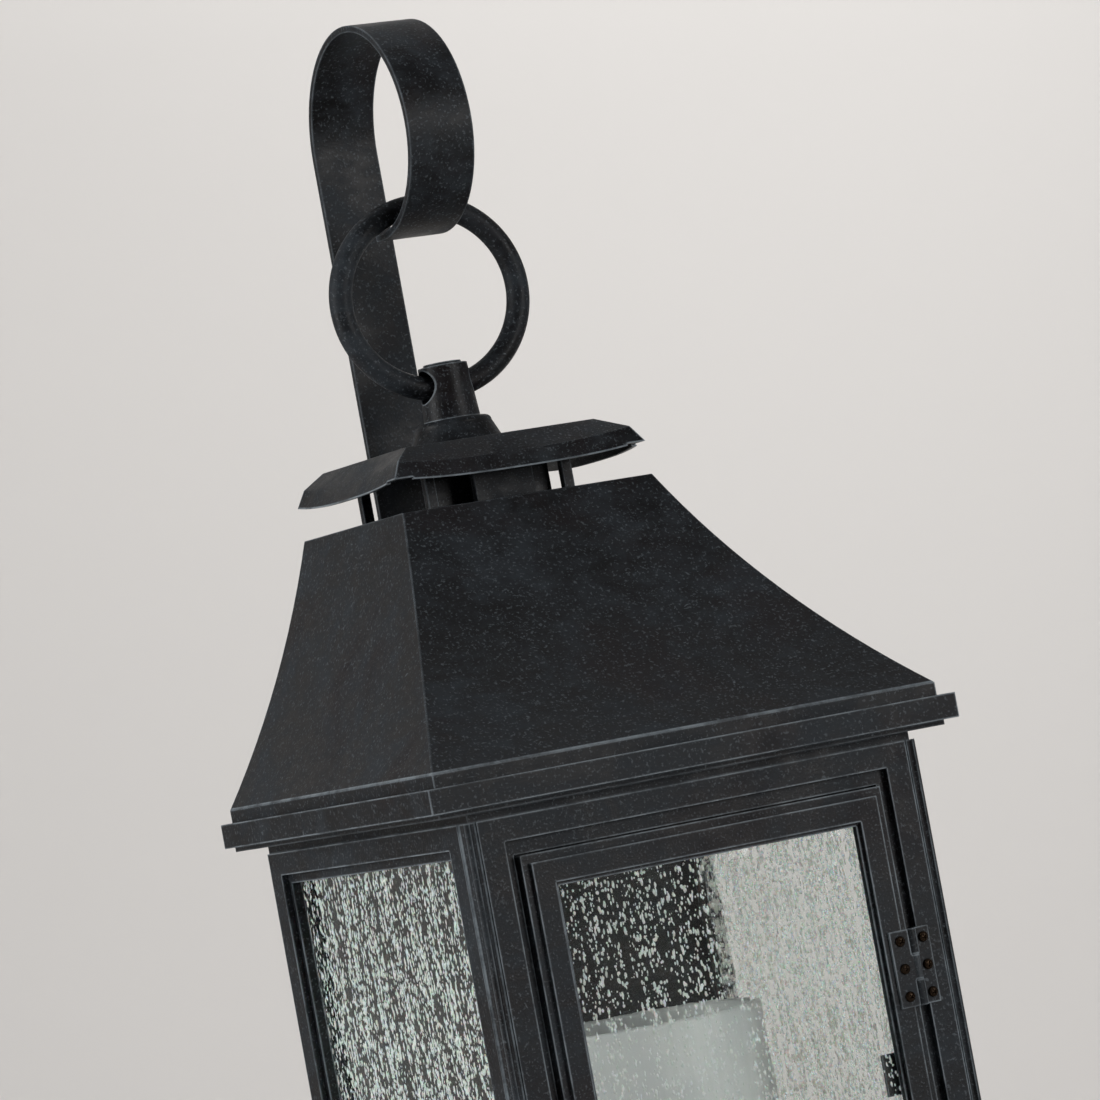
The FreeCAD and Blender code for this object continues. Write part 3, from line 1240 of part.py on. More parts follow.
def make_lampholder():
    """A socket on the threaded tube, with a wider foot and a rolled mouth."""
    top = f"({HOLDER_TOP} + socket_height)"
    foot_top = f"({HOLDER_TOP} + socket_foot_height)"
    tube_end = f"({FLOOR_UNDER} - nipple_below + nipple_length)"
    return turned_body("lampholder", [
        ("nipple_radius", HOLDER_TOP), ("socket_radius", HOLDER_TOP), ("socket_radius", foot_top),
        ("socket_body_radius", f"{foot_top} + socket_slope"), ("socket_body_radius", f"{top} - socket_round"),
        ("socket_body_radius - socket_round", top), ("socket_bore_radius", top),
        ("socket_bore_radius", BULB_SEAT), ("0", BULB_SEAT), ("0", tube_end), ("nipple_radius", tube_end)],
        LAMP_FORWARD)


def make_lamp_nipple():
    low = f"({FLOOR_UNDER} - nipple_below)"
    return turned_body("lamp_nipple", [
        ("nipple_bore_radius", low), ("nipple_radius", low), ("nipple_radius", f"{low} + nipple_length"),
        ("nipple_bore_radius", f"{low} + nipple_length")], LAMP_FORWARD)


def make_nipple_nut():
    low = f"({FLOOR_UNDER} - nipple_nut_height)"
    return turned_body("nipple_nut", [
        ("nipple_radius", low), ("nipple_nut_radius - nut_chamfer", low),
        ("nipple_nut_radius", f"{low} + nut_chamfer"), ("nipple_nut_radius", FLOOR_UNDER),
        ("nipple_radius", FLOOR_UNDER)], LAMP_FORWARD)


def make_bulb_cap():
    """The metal cap of the bulb, a cup that stands in the lampholder."""
    inner = "(bulb_cap_radius - bulb_cap_sheet)"
    slope_top = f"({BULB_SEAT} + bulb_cap_radius / 3)"
    return turned_body("bulb_cap", [
        ("0", BULB_SEAT), ("bulb_cap_radius / 2", BULB_SEAT), ("bulb_cap_radius", slope_top),
        ("bulb_cap_radius", BULB_RIM), (inner, BULB_RIM), (inner, slope_top),
        (f"{inner} - bulb_cap_radius / 2", f"{BULB_SEAT} + bulb_cap_sheet"),
        ("0", f"{BULB_SEAT} + bulb_cap_sheet")], LAMP_FORWARD)


def make_bulb():
    """The bulb's glass: straight neck, hollow blend and round part, one wall thick all over."""
    blend_radius = "((bulb_radius * cos(bulb_blend) - bulb_cap_radius) / (1 - cos(bulb_blend)))"
    neck_top = f"({BULB_RIM} + bulb_neck_length)"
    middle = f"({neck_top} + (bulb_radius + {blend_radius}) * sin(bulb_blend))"
    neck, ball = "(bulb_cap_radius - bulb_wall)", "(bulb_radius - bulb_wall)"
    return turned_body("bulb", [
        (neck, BULB_RIM), ("bulb_cap_radius", BULB_RIM), ("bulb_cap_radius", neck_top, blend_radius, 1),
        ("bulb_radius * cos(bulb_blend)", f"{middle} - bulb_radius * sin(bulb_blend)", "bulb_radius", -1),
        ("0", f"{middle} + bulb_radius"), ("0", f"{middle} + {ball}", ball, 1),
        (f"{ball} * cos(bulb_blend)", f"{middle} - {ball} * sin(bulb_blend)",
         f"({blend_radius} + bulb_wall)", -1),
        (neck, neck_top)], LAMP_FORWARD)


# Door
def make_door_frame():
    """The door: a low outer step, a raised border and a low bead round the glass."""
    step_face = f"({FACE} + door_step_proud)"
    door = forward_plate("door_frame", DOOR_BACK, f"{step_face} - {DOOR_BACK}", centred(DOOR_HALF, DOOR_TOP),
                         centred(f"({PANE_HALF} - door_bead)", f"({PANE_TOP} - door_bead)"))
    border = new_sketch(door, "XZ_Plane", f"({DOOR_FACE} - door_bead_drop)")
    centred(BORDER_HALF, BORDER_TOP)(border)
    centred(PANE_HALF, PANE_TOP)(border)
    add_pad(door, border, "door_bead_drop")
    cut_forward(door, DOOR_BACK, "glass_thickness + glass_room", centred(DOOR_REBATE_SIDE, DOOR_REBATE_TOP))
    holes = [circle(PIN_SIDE + " - door_screw_inset", height, "screw_radius")
             for height in hinge_screw_heights()]
    cut_forward(door, f"{DOOR_FACE} - hinge_screw_depth", "frame_thickness", *holes)
    cut_forward(door, DOOR_BACK, "door_proud + frame_thickness * 2",
                circle(LATCH_SIDE, "-latch_drop", "latch_shaft_radius + latch_fit"))
    clip_holes = [circle(across, up, "screw_radius") for across, up in door_clip_screw_spots()]
    cut_forward(door, DOOR_BACK, "clip_screw_depth", *clip_holes)
    return door


def make_door_glass():
    half, top = f"({DOOR_REBATE_SIDE} - play)", f"({DOOR_REBATE_TOP} - play)"
    return block("door_glass", minus(half), half, DOOR_GLASS_BACK, f"{DOOR_GLASS_BACK} + glass_thickness",
                 minus(top), top)


# Hinges
def hinge_ends():
    """Low ends of the upper and the lower hinge."""
    return [HINGE_LOW_END, f"(-({HINGE_LOW_END}) - hinge_height)"]


def hinge_screw_heights():
    return [f"{end} + hinge_height / 2 + {step} * hinge_screw_pitch"
            for end in hinge_ends() for step in (-1, 0, 1)]


def make_hinge_leaf(label, low_end, on_door):
    """A leaf with its knuckles. The door's leaf has the middle one, the frame's leaf the other two."""
    leaf = new_body(label)
    side = -1 if on_door else 1
    width = "door_leaf_width" if on_door else "frame_leaf_width"
    back = DOOR_FACE if on_door else FACE
    near = f"({PIN_SIDE} + {side} * (knuckle_radius + knuckle_gap))"
    far = f"({near} + {side} * {width})"
    edges = sorted((near, far), key=number)
    plate = new_sketch(leaf, "XZ_Plane", back)
    draw_rectangle(plate, *edges, low_end, f"{low_end} + hinge_height")
    add_pad(leaf, plate, "leaf_thickness")
    third = "hinge_height / 3"
    if on_door:
        spans = [(f"{low_end} + {third} + knuckle_gap", f"{third} - 2 * knuckle_gap")]
    else:
        spans = [(low_end, third), (f"{low_end} + 2 * {third}", third)]
    for start, length in spans:
        link = new_sketch(leaf, "XY_Plane", start)
        middle = f"({back} + leaf_thickness / 2)"
        reach = f"({near} + {side} * knuckle_gap)"
        link_edges = sorted((PIN_SIDE, reach), key=number)
        forward = (back, f"{back} + leaf_thickness") if on_door else (back, PIN_FORWARD)
        draw_rectangle(link, *link_edges, minus(forward[1]), minus(forward[0]))
        add_pad(leaf, link, length)
        barrel = new_sketch(leaf, "XY_Plane", start)
        draw_circle(barrel, PIN_SIDE, minus(PIN_FORWARD), "knuckle_radius")
        add_pad(leaf, barrel, length)
    bore = new_sketch(leaf, "XY_Plane", low_end)
    fit = "pin_radius + pin_fit" if on_door else "pin_radius"
    draw_circle(bore, PIN_SIDE, minus(PIN_FORWARD), fit)
    add_pocket(leaf, bore, "hinge_height")
    inset = f"{PIN_SIDE} + {side} * " + ("door_screw_inset" if on_door else "frame_screw_inset")
    middle = f"({low_end} + hinge_height / 2)"
    cut_forward(leaf, back, "leaf_thickness",
                *[circle(inset, f"{middle} + {step} * hinge_screw_pitch", "screw_radius")
                  for step in (-1, 0, 1)])
    return leaf


def make_hinge_pin(label, low_end):
    pin = doc.addObject("Part::Cylinder", label)
    pin.Label = label
    pin.setExpression("Radius", in_sheet_terms("pin_radius"))
    pin.setExpression("Height", in_sheet_terms("hinge_height"))
    pin.setExpression("Placement.Base.x", in_sheet_terms(PIN_SIDE))
    pin.setExpression("Placement.Base.y", in_sheet_terms(minus(PIN_FORWARD)))
    pin.setExpression("Placement.Base.z", in_sheet_terms(low_end))
    doc.recompute()
    return pin


def make_hinge_screws(label, on_door):
    side = -1 if on_door else 1
    back = DOOR_FACE if on_door else FACE
    inset = "door_screw_inset" if on_door else "frame_screw_inset"
    places = [(spot(f"{PIN_SIDE} + {side} * {inset}", f"{back} + leaf_thickness", height), -TO_WALL)
              for height in hinge_screw_heights()]
    return fastener_group(label, small_screw("leaf_thickness + hinge_screw_depth"), places)


# Latch
def make_latch_knob():
    """A turned knob on its shaft, which runs through the door."""
    shaft_end = f"({DOOR_FACE} - {CAM_BACK} + latch_nut_height)"
    return turned_forward("latch_knob", [
        ("0", minus(shaft_end)), ("latch_shaft_radius", minus(shaft_end)), ("latch_shaft_radius", "play"),
        ("latch_collar_radius", "play"), ("latch_collar_radius", "play + latch_collar_thickness"),
        ("knob_neck_radius", "play + latch_collar_thickness * 2"),
        ("knob_neck_radius", "knob_length - 2 * knob_round - knob_radius + knob_neck_radius"),
        ("knob_radius", "knob_length - 2 * knob_round"),
        ("knob_radius", "knob_length - knob_round", "knob_round", -1),
        ("knob_radius - knob_round", "knob_length"), ("0", "knob_length")],
        LATCH_SIDE, "-latch_drop", DOOR_FACE)


def make_latch_cam():
    """A flat cam that hangs down when it is open and reaches behind the door stop when it is shut."""
    low = "(-latch_drop - cam_reach + cam_width / 2)"
    left, right = f"({LATCH_SIDE} - cam_width / 2)", f"({LATCH_SIDE} + cam_width / 2)"
    arc = half_round("cam_width")
    cam = new_body("latch_cam")
    sketch = new_sketch(cam, "XZ_Plane", CAM_BACK)
    draw_outline(sketch, [(left, low, arc, -1), (right, low), (right, "-latch_drop", arc, -1),
                          (left, "-latch_drop")])
    draw_circle(sketch, LATCH_SIDE, "-latch_drop", "latch_shaft_radius")
    add_pad(cam, sketch, "cam_thickness")
    return cam


def make_latch_nut():
    return turned_forward("latch_nut", [
        ("latch_shaft_radius", "-latch_nut_height"), ("latch_nut_radius - nut_chamfer", "-latch_nut_height"),
        ("latch_nut_radius", "nut_chamfer - latch_nut_height"), ("latch_nut_radius", "0"),
        ("latch_shaft_radius", "0")], LATCH_SIDE, "-latch_drop", CAM_BACK)


# Clips that hold the glasses
def clip_shape(rise, reach, bend_start):
    """A bent clip: its foot lies on the border, and its tongue lies on the glass, higher by rise."""
    foot, thick, half = number("clip_foot"), number("clip_thickness"), number("clip_length") / 2
    bend_end = bend_start + number("clip_bend")
    shift = math.copysign(thick / 2, rise)
    outline = [(-reach, rise), (bend_start, rise), (bend_end, 0), (foot, 0), (foot, thick),
               (bend_end + shift, thick), (bend_start + shift, thick + rise), (-reach, thick + rise)]
    points = [FreeCAD.Vector(across, -half, up) for across, up in outline]
    clip = Part.Face(Part.makePolygon(points + points[:1])).extrude(FreeCAD.Vector(0, 2 * half, 0))
    hole = Part.makeCylinder(number("screw_radius"), thick, FreeCAD.Vector(number("clip_screw_aside"), 0, 0))
    return clip.cut(hole)


def clip_group(label, clip, places):
    """Clips; places are (point at the glass edge, way from the glass to the border, way that it faces)."""
    clips = []
    for point, outward, facing in places:
        copy = clip.copy()
        turn = FreeCAD.Rotation(outward, facing.cross(outward), facing, "XYZ")
        copy.Placement = FreeCAD.Placement(point, turn)
        clips.append(copy)
    return shape_piece(label, Part.makeCompound(clips))


def clip_screw_group(label, places):
    lift, aside = number("clip_thickness"), number("clip_screw_aside")
    return fastener_group(label, small_screw("clip_thickness + clip_screw_depth"),
                          [(point + outward * aside + facing * lift, facing)
                           for point, outward, facing in places])


def door_clip_places():
    """One clip in the middle of each stile and two on the bottom rail, behind the door."""
    left, down = FreeCAD.Vector(-1, 0, 0), FreeCAD.Vector(0, 0, -1)
    places = [(spot(minus(DOOR_REBATE_SIDE), DOOR_BACK, "-clip_drop"), left, TO_WALL),
              (spot(DOOR_REBATE_SIDE, DOOR_BACK, "-clip_drop"), -left, TO_WALL)]
    for across in (f"-{PANE_HALF} * door_clip_share", f"{PANE_HALF} * door_clip_share"):
        places.append((spot(across, DOOR_BACK, minus(DOOR_REBATE_TOP)), down, TO_WALL))
    return places


def door_clip_screw_spots():
    stile, rail = f"({DOOR_REBATE_SIDE} + clip_screw_aside)", f"-({DOOR_REBATE_TOP} + clip_screw_aside)"
    across = f"({PANE_HALF} * door_clip_share)"
    return [(minus(stile), "-clip_drop"), (stile, "-clip_drop"), (minus(across), rail), (across, rail)]


def side_rail_clip_middles():
    inset = f"(({SIDE_GLASS_FRONT} - {SIDE_GLASS_BACK}) * side_clip_share)"
    return [f"({SIDE_GLASS_BACK} + {inset})", f"({SIDE_GLASS_FRONT} - {inset})"]


def side_clip_spots():
    """Screws of the side clips, on the back stile and on both rails, as (forward, up)."""
    aside = "(play + clip_screw_aside)"
    spots = [(f"({SIDE_GLASS_BACK} - {aside})", "-clip_drop")]
    for middle in side_rail_clip_middles():
        spots += [(middle, f"-({SIDE_GLASS_TOP} + {aside})"), (middle, f"({SIDE_GLASS_TOP} + {aside})")]
    return spots


def side_clip_places():
    places = []
    for side, inward in (("-", FreeCAD.Vector(1, 0, 0)), ("+", FreeCAD.Vector(-1, 0, 0))):
        across = side + SIDE_INNER
        places.append((spot(across, f"{SIDE_GLASS_BACK} - play", "-clip_drop"), TO_WALL, inward))
        for middle in side_rail_clip_middles():
            places.append((spot(across, middle, f"-({SIDE_GLASS_TOP} + play)"), -UP, inward))
            places.append((spot(across, middle, f"{SIDE_GLASS_TOP} + play"), UP, inward))
    return places


for make in (make_crossbar, make_mounting_studs, make_cap_nuts, make_ground_screw, make_back_pan,
             make_back_panel, make_panel_screws, make_wire_grommet, make_strap_spacer, make_crook_strap,
             make_strap_screws):
    keep(make())
keep(make_corner_post("left_corner_post", -1))
keep(make_corner_post("right_corner_post", 1))
keep(make_front_frame())
left_side_frame = keep(make_side_frame("left_side_frame"))
keep(mirrored("right_side_frame", left_side_frame))
keep(make_side_glass("left_glass", -1))
keep(make_side_glass("right_glass", 1))
for make in (make_post_screws, make_top_frame, make_soffit, make_eaves, make_roof, make_roof_screws,
             make_vent_neck, make_baffle, make_cap_stay, make_vent_cap, make_collar, make_stem,
             make_stem_nut, make_ring, make_base, make_base_plate, make_base_screws,
             make_cylinder_holder, make_glass_cylinder, make_lampholder, make_lamp_nipple,
             make_nipple_nut, make_bulb_cap, make_bulb, make_door_frame, make_door_glass):
    keep(make())
for place, low_end in zip(("upper", "lower"), hinge_ends()):
    keep(make_hinge_leaf(f"{place}_hinge_frame_leaf", low_end, False))
    keep(make_hinge_leaf(f"{place}_hinge_door_leaf", low_end, True))
    keep(make_hinge_pin(f"{place}_hinge_pin", low_end))
keep(make_hinge_screws("frame_hinge_screws", False))
keep(make_hinge_screws("door_hinge_screws", True))
for make in (make_latch_knob, make_latch_cam, make_latch_nut):
    keep(make())
door_clip = clip_shape(-number("glass_room"), number("glass_lap - door_bead + play + clip_reach"),
                       -number("clip_bend"))
keep(clip_group("door_glass_clips", door_clip, door_clip_places()))
keep(clip_screw_group("door_clip_screws", door_clip_places()))
side_clip = clip_shape(number("glass_thickness"), number("glass_lap + play + clip_reach / 2"), 0)
keep(clip_group("side_glass_clips", side_clip, side_clip_places()))
keep(clip_screw_group("side_clip_screws", side_clip_places()))

# Check every object, then write the pieces
doc.recompute()
for thing in doc.Objects:
    if "Invalid" in thing.State or "Error" in thing.State:
        raise RuntimeError(f"{thing.Label} failed: {thing.State}")
for piece in pieces:
    if piece.Shape.isNull() or not piece.Shape.isValid():
        raise RuntimeError(f"{piece.Label} has no valid shape")
    piece.Shape.exportStep(f"parts/{piece.Label}.step")
print(len(pieces), "pieces")
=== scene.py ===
"""Looks of a wall lantern with a crook strap and a loose ring, made around its packed frame."""

import json
import math

import bmesh
import bpy
import numpy as np
from bpy.props import FloatProperty, FloatVectorProperty, IntProperty, PointerProperty
from mathutils import Matrix, Vector

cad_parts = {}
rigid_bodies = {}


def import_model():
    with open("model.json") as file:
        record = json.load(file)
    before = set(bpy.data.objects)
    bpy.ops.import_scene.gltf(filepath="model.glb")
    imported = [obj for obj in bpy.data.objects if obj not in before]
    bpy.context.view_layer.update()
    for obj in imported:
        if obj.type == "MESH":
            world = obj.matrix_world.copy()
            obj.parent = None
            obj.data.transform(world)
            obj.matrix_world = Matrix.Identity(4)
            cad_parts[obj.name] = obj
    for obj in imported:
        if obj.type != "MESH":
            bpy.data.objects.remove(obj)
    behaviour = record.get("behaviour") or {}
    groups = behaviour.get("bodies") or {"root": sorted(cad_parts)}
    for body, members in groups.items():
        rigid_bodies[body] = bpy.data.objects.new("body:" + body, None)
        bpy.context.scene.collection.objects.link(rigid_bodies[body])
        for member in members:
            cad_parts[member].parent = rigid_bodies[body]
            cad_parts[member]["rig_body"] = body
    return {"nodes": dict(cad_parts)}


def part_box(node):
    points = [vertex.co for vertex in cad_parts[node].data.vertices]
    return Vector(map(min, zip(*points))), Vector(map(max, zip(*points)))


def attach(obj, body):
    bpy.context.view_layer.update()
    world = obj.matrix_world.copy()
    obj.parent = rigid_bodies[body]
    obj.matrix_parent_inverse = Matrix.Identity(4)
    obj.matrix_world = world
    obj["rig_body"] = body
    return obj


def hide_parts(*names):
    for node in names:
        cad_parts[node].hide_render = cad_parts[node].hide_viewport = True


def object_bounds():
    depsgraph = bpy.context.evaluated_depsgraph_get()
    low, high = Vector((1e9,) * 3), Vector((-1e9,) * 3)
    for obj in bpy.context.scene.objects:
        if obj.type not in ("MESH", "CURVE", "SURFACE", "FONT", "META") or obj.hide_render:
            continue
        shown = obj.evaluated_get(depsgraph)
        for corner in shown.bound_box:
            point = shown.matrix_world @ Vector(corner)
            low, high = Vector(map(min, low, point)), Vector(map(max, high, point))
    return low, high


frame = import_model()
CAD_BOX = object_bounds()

bl_info = {
    "name": "Wall Lantern Finishes",
    "version": (1, 0, 0),
    "blender": (4, 5, 0),
    "location": "View3D > Sidebar > Lantern",
    "description": "Finishes, glass, screws and studio for a wall lantern with a crook strap",
    "category": "Object",
}

MM = 0.001
SHARP_DEGREES = 23.0  # a sharper bend than this counts as an edge
FLAT_DEGREES = 0.4  # faces that bend less than this are one flat
JOINED = 0.002 * MM  # corners closer than this are one

PANE_CELL = 2.4 * MM  # mesh of a pane's two faces
PANE_WAVES = ((1.0, 9 * MM, 34 * MM), (0.6, 4.8 * MM, 14 * MM))  # each kind: share, width and height
SEED_ROOM = 0.10 * MM  # kept free for the bubbles over a pane's highest waves
SEED_COVER = (0.005, 0.05)  # least and most of it, in mm, that stay over a bubble
SEED_RIM = 1.2 * MM  # a pane's edge to its outermost bubbles
SEED_SPREAD = 0.40  # how much the bubbles differ in size
SEED_SIZES = (0.35, 1.8)  # smallest and largest bubble, as shares of the middle one
SEED_LENGTHS = (1.0, 2.8)  # shortest and longest, as shares of a bubble's width

# Softboxes: place, what they face, width and height in metres, power in watts
MIDDLE = (0.0, -0.12, 0.17)
SOFTBOXES = {
    "left_softbox": ((-3.2, 0.3, 0.9), MIDDLE, 1.6, 2.4, 46.0),
    "front_softbox": ((2.0, -3.9, 0.8), MIDDLE, 1.6, 1.6, 40.0),
    "top_softbox": ((0.6, 1.6, 4.4), (0.6, 1.6, 0.0), 4.0, 4.0, 18.0),
    "wall_wash": ((0.5, 2.0, 3.6), (3.4, 6.6, 0.5), 2.8, 1.4, 42.0),
    "wall_glow": ((3.3, 4.2, 3.5), (3.1, 6.6, 2.0), 1.8, 1.4, 92.0),
}


# Settings that a user would change

def colour_setting(label, text, default):
    """A colour to choose."""
    return FloatVectorProperty(
        name=label, description=text, default=default, subtype="COLOR", size=3, min=0.0, max=1.0
    )


def length_setting(label, text, default):
    """A length to choose, in metres."""
    return FloatProperty(
        name=label, description=text, default=default, subtype="DISTANCE", unit="LENGTH", min=0.0
    )


def angle_setting(label, text, degrees):
    """An angle to choose; its default is given in degrees."""
    return FloatProperty(
        name=label, description=text, default=math.radians(degrees), subtype="ANGLE", unit="ROTATION"
    )


class LanternMetalSettings(bpy.types.PropertyGroup):
    """Colours and surface of the metal pieces."""

    charcoal: colour_setting("Charcoal", "Darkest tone of the painted metal", (0.0040, 0.0040, 0.0052))
    slate: colour_setting("Slate", "Blue-grey clouds in the paint", (0.036, 0.044, 0.053))
    umber: colour_setting("Umber", "Warm patches in the paint", (0.0125, 0.0068, 0.0070))
    # The pale edge colour stands for paint scuffed off the edges and for a highlight painted along them.
    rubbed: colour_setting("Scuffed and highlit edge", "Paint rubbed pale along the edges", (0.30, 0.35, 0.39))
    bronze: colour_setting("Bronze", "Small screws", (0.034, 0.022, 0.014))
    brass: colour_setting("Brass", "Nuts and lamp fittings", (0.56, 0.37, 0.12))
    zinc: colour_setting("Zinc", "Plated steel", (0.46, 0.47, 0.48))
    casting_grain: length_setting("Casting grain", "Depth of the sand-cast grain", 0.16 * MM)
    sheet_grain: length_setting("Sheet grain", "Depth of the grain on sheet metal", 0.05 * MM)
    # The pale edge line is partly scuffed paint and partly a painted highlight.
    edge_reach: length_setting("Edge reach", "Width of the rubbed line along an edge", 0.9 * MM)
    edge_round: length_setting("Edge round", "Rounding of the metal's edges", 0.35 * MM)


class LanternGlassSettings(bpy.types.PropertyGroup):
    """The seeded panes and the white cylinder."""

    tint: colour_setting("Tint", "Colour of the seeded glass", (0.975, 0.99, 0.98))
    seed: colour_setting("Seed", "Light that a bubble in the glass catches", (1.0, 1.0, 0.99))
    opal: colour_setting("Opal", "White cylinder round the lamp", (0.93, 0.93, 0.92))
    seeds_per_area: FloatProperty(
        name="Seeds per square centimetre", description="How many bubbles lie in the door's glass",
        default=24.0, min=0.0,
    )
    side_seeds_per_area: FloatProperty(
        name="Seeds per square centimetre at the sides", description="How many lie in a side pane",
        default=33.0, min=0.0,
    )
    seed_radius: length_setting("Seed radius", "Middle radius of a bubble in the door's glass", 0.39 * MM)
    side_seed_radius: length_setting("Seed radius at the sides", "Its middle in a side pane", 0.52 * MM)
    ripple: length_setting("Ripple", "Depth of the waves on the glass", 0.045 * MM)
    random_start: IntProperty(
        name="Random start", description="Places the bubbles another way", default=7, min=0
    )


class LanternStageSettings(bpy.types.PropertyGroup):
    """Camera, floor and the light from all round."""

    camera_turn: angle_setting("Camera turn", "Camera's heading, from straight at the door", 26.8)
    camera_tilt: angle_setting("Camera tilt", "Camera's tilt above the horizon", 2.07)
    camera_roll: angle_setting("Camera roll", "Camera's roll about its view", -10.4)
    camera_place: FloatVectorProperty(
        name="Camera place", description="Where the camera stands", subtype="TRANSLATION",
        unit="LENGTH", size=3, default=(-1.0036, -2.1222, 0.1638),
    )
    lens: FloatProperty(name="Lens", description="Focal length in millimetres", default=166.67, min=1.0)
    floor_drop: length_setting("Floor drop", "How far the floor lies under the lantern", 0.75)
    stage_radius: length_setting("Stage radius", "Half the width of the flat floor", 5.0)
    stage_colour: colour_setting("Stage colour", "Paint of the floor and backdrop", (0.70, 0.68, 0.66))
    air_colour: colour_setting("Air colour", "Colour of the light from all round", (0.95, 0.97, 1.0))
    air_strength: FloatProperty(
        name="Air strength", description="How strong the light from all round is", default=0.24, min=0.0
    )


# Short ways to draw a node tree

def feed(tree, socket, value):
    """Links an output to the socket, or sets the socket to a number or colour."""
    if isinstance(value, bpy.types.NodeSocket):
        tree.links.new(value, socket)
    else:
        socket.default_value = value


def add_node(tree, kind, settings=None, inputs=None):
    """A shader node of that kind, with its settings and its named inputs."""
    made = tree.nodes.new("ShaderNode" + kind)
    for name, value in (settings or {}).items():
        setattr(made, name, value)
    for name, value in (inputs or {}).items():
        feed(tree, made.inputs[name], value)
    return made


def reckon(tree, operation, *values):
    """The output of a Math node."""
    made = add_node(tree, "Math", {"operation": operation})
    for socket, value in zip(made.inputs, values):
        feed(tree, socket, value)
    return made.outputs[0]


def step_between(tree, value, low, high):
    """0 under low, 1 over high, and a smooth step between."""
    made = add_node(tree, "MapRange", {"interpolation_type": "SMOOTHSTEP"})
    for name, number in (("Value", value), ("From Min", low), ("From Max", high)):
        feed(tree, made.inputs[name], number)
    return made.outputs[0]


def scaled_to(tree, value, low, high):
    """A value from 0 to 1 spread from low to high."""
    made = add_node(tree, "MapRange", {"clamp": True})
    for name, number in (("Value", value), ("To Min", low), ("To Max", high)):
        feed(tree, made.inputs[name], number)
    return made.outputs[0]


def mix_colours(tree, share, first, second):
    """first where share is 0, second where it is 1."""
    made = add_node(tree, "Mix", {"data_type": "RGBA"})
    colours = [s for s in made.inputs if s.type == "RGBA"]
    for socket, value in ((made.inputs["Factor"], share), (colours[0], first), (colours[1], second)):
        feed(tree, socket, value)
    return next(s for s in made.outputs if s.type == "RGBA")


def noise(tree, place, scale, detail=3.0, roughness=0.5, distortion=0.0):
    """Cloudy noise from 0 to 1; scale is in waves per metre."""
    return add_node(tree, "TexNoise", {"noise_dimensions": "3D"}, {
        "Vector": place, "Scale": scale, "Detail": detail, "Roughness": roughness,
        "Distortion": distortion,
    }).outputs["Fac"]


def stretched(tree, place, scale):
    """Coordinates stretched by a scale along each axis."""
    return add_node(tree, "VectorMath", {"operation": "MULTIPLY"}, {0: place, 1: scale}).outputs[0]


def opaque(colour):
    """A colour with full alpha."""
    return (*colour, 1.0)


def product(tree, *values):
    """All the values multiplied."""
    result = values[0]
    for value in values[1:]:
        result = reckon(tree, "MULTIPLY", result, value)
    return result


def blend_of(tree, first, first_share, second, second_share):
    """The sum of two values, each by its share."""
    return reckon(tree, "ADD", product(tree, first, first_share), product(tree, second, second_share))


def new_group(name, inputs, outputs):
    """An empty shader group with its sockets. Returns the tree, what comes in and what goes out."""
    tree = bpy.data.node_groups.new(name, "ShaderNodeTree")
    for label, kind, default in inputs:
        socket = tree.interface.new_socket(label, in_out="INPUT", socket_type="NodeSocket" + kind)
        if default is not None:
            socket.default_value = default
    for label, kind in outputs:
        tree.interface.new_socket(label, in_out="OUTPUT", socket_type="NodeSocket" + kind)
    return tree, tree.nodes.new("NodeGroupInput").outputs, tree.nodes.new("NodeGroupOutput").inputs


def place_group(tree, name, **inputs):
    """Places a shader group, built the first time it is asked for. Returns its outputs."""
    group = bpy.data.node_groups.get(name) or GROUPS[name]()
    labels = {label.replace("_", " "): value for label, value in inputs.items()}
    return add_node(tree, "Group", {"node_tree": group}, labels).outputs


# Effects that several finishes share

def mottled_patina():
    """Clouds of slate and umber over charcoal, and the gloss that goes with them."""
    tree, given, made = new_group(
        "Mottled patina",
        [("Vector", "Vector", None), ("Charcoal", "Color", None), ("Slate", "Color", None),
         ("Umber", "Color", None), ("Clouds", "Float", 1.0)],
        [("Color", "Color"), ("Roughness", "Float")],
    )
    place = given["Vector"]
    clouds = step_between(tree, noise(tree, place, 26.0, 6.0, 0.62, 0.4), 0.42, 0.64)
    fine = noise(tree, stretched(tree, place, (90.0, 90.0, 170.0)), 1.0, 6.0, 0.66)
    wisps = step_between(tree, fine, 0.36, 0.68)
    both = blend_of(tree, clouds, 0.58, wisps, 0.42)
    moved = add_node(tree, "VectorMath", {"operation": "ADD"}, {0: place, 1: (3.1, 1.7, 5.3)}).outputs[0]
    warmth = step_between(tree, noise(tree, moved, 13.0, 5.0, 0.6, 0.8), 0.48, 0.66)
    share = product(tree, both, given["Clouds"])
    base = mix_colours(tree, share, given["Charcoal"], given["Slate"])
    warmed = mix_colours(tree, product(tree, warmth, 0.60), base, given["Umber"])
    feed(tree, made["Color"], warmed)
    feed(tree, made["Roughness"], scaled_to(tree, both, 0.36, 0.62))
    return tree


def casting_grain():
    """The sand's grain left on a casting: its height, and its peaks, which are painted pale as glints of
    light.
    """
    tree, given, made = new_group(
        "Casting grain", [("Vector", "Vector", None), ("Fineness", "Float", 1.0)],
        [("Height", "Float"), ("Painted_glints", "Float")],
    )
    place = given["Vector"]
    pebbles = noise(tree, place, product(tree, given["Fineness"], 900.0), 2.0, 0.55)
    swell = noise(tree, place, product(tree, given["Fineness"], 230.0), 2.0, 0.5)
    feed(tree, made["Height"], blend_of(tree, pebbles, 0.7, swell, 0.3))
    feed(tree, made["Painted_glints"], step_between(tree, pebbles, 0.56, 0.72))
    return tree


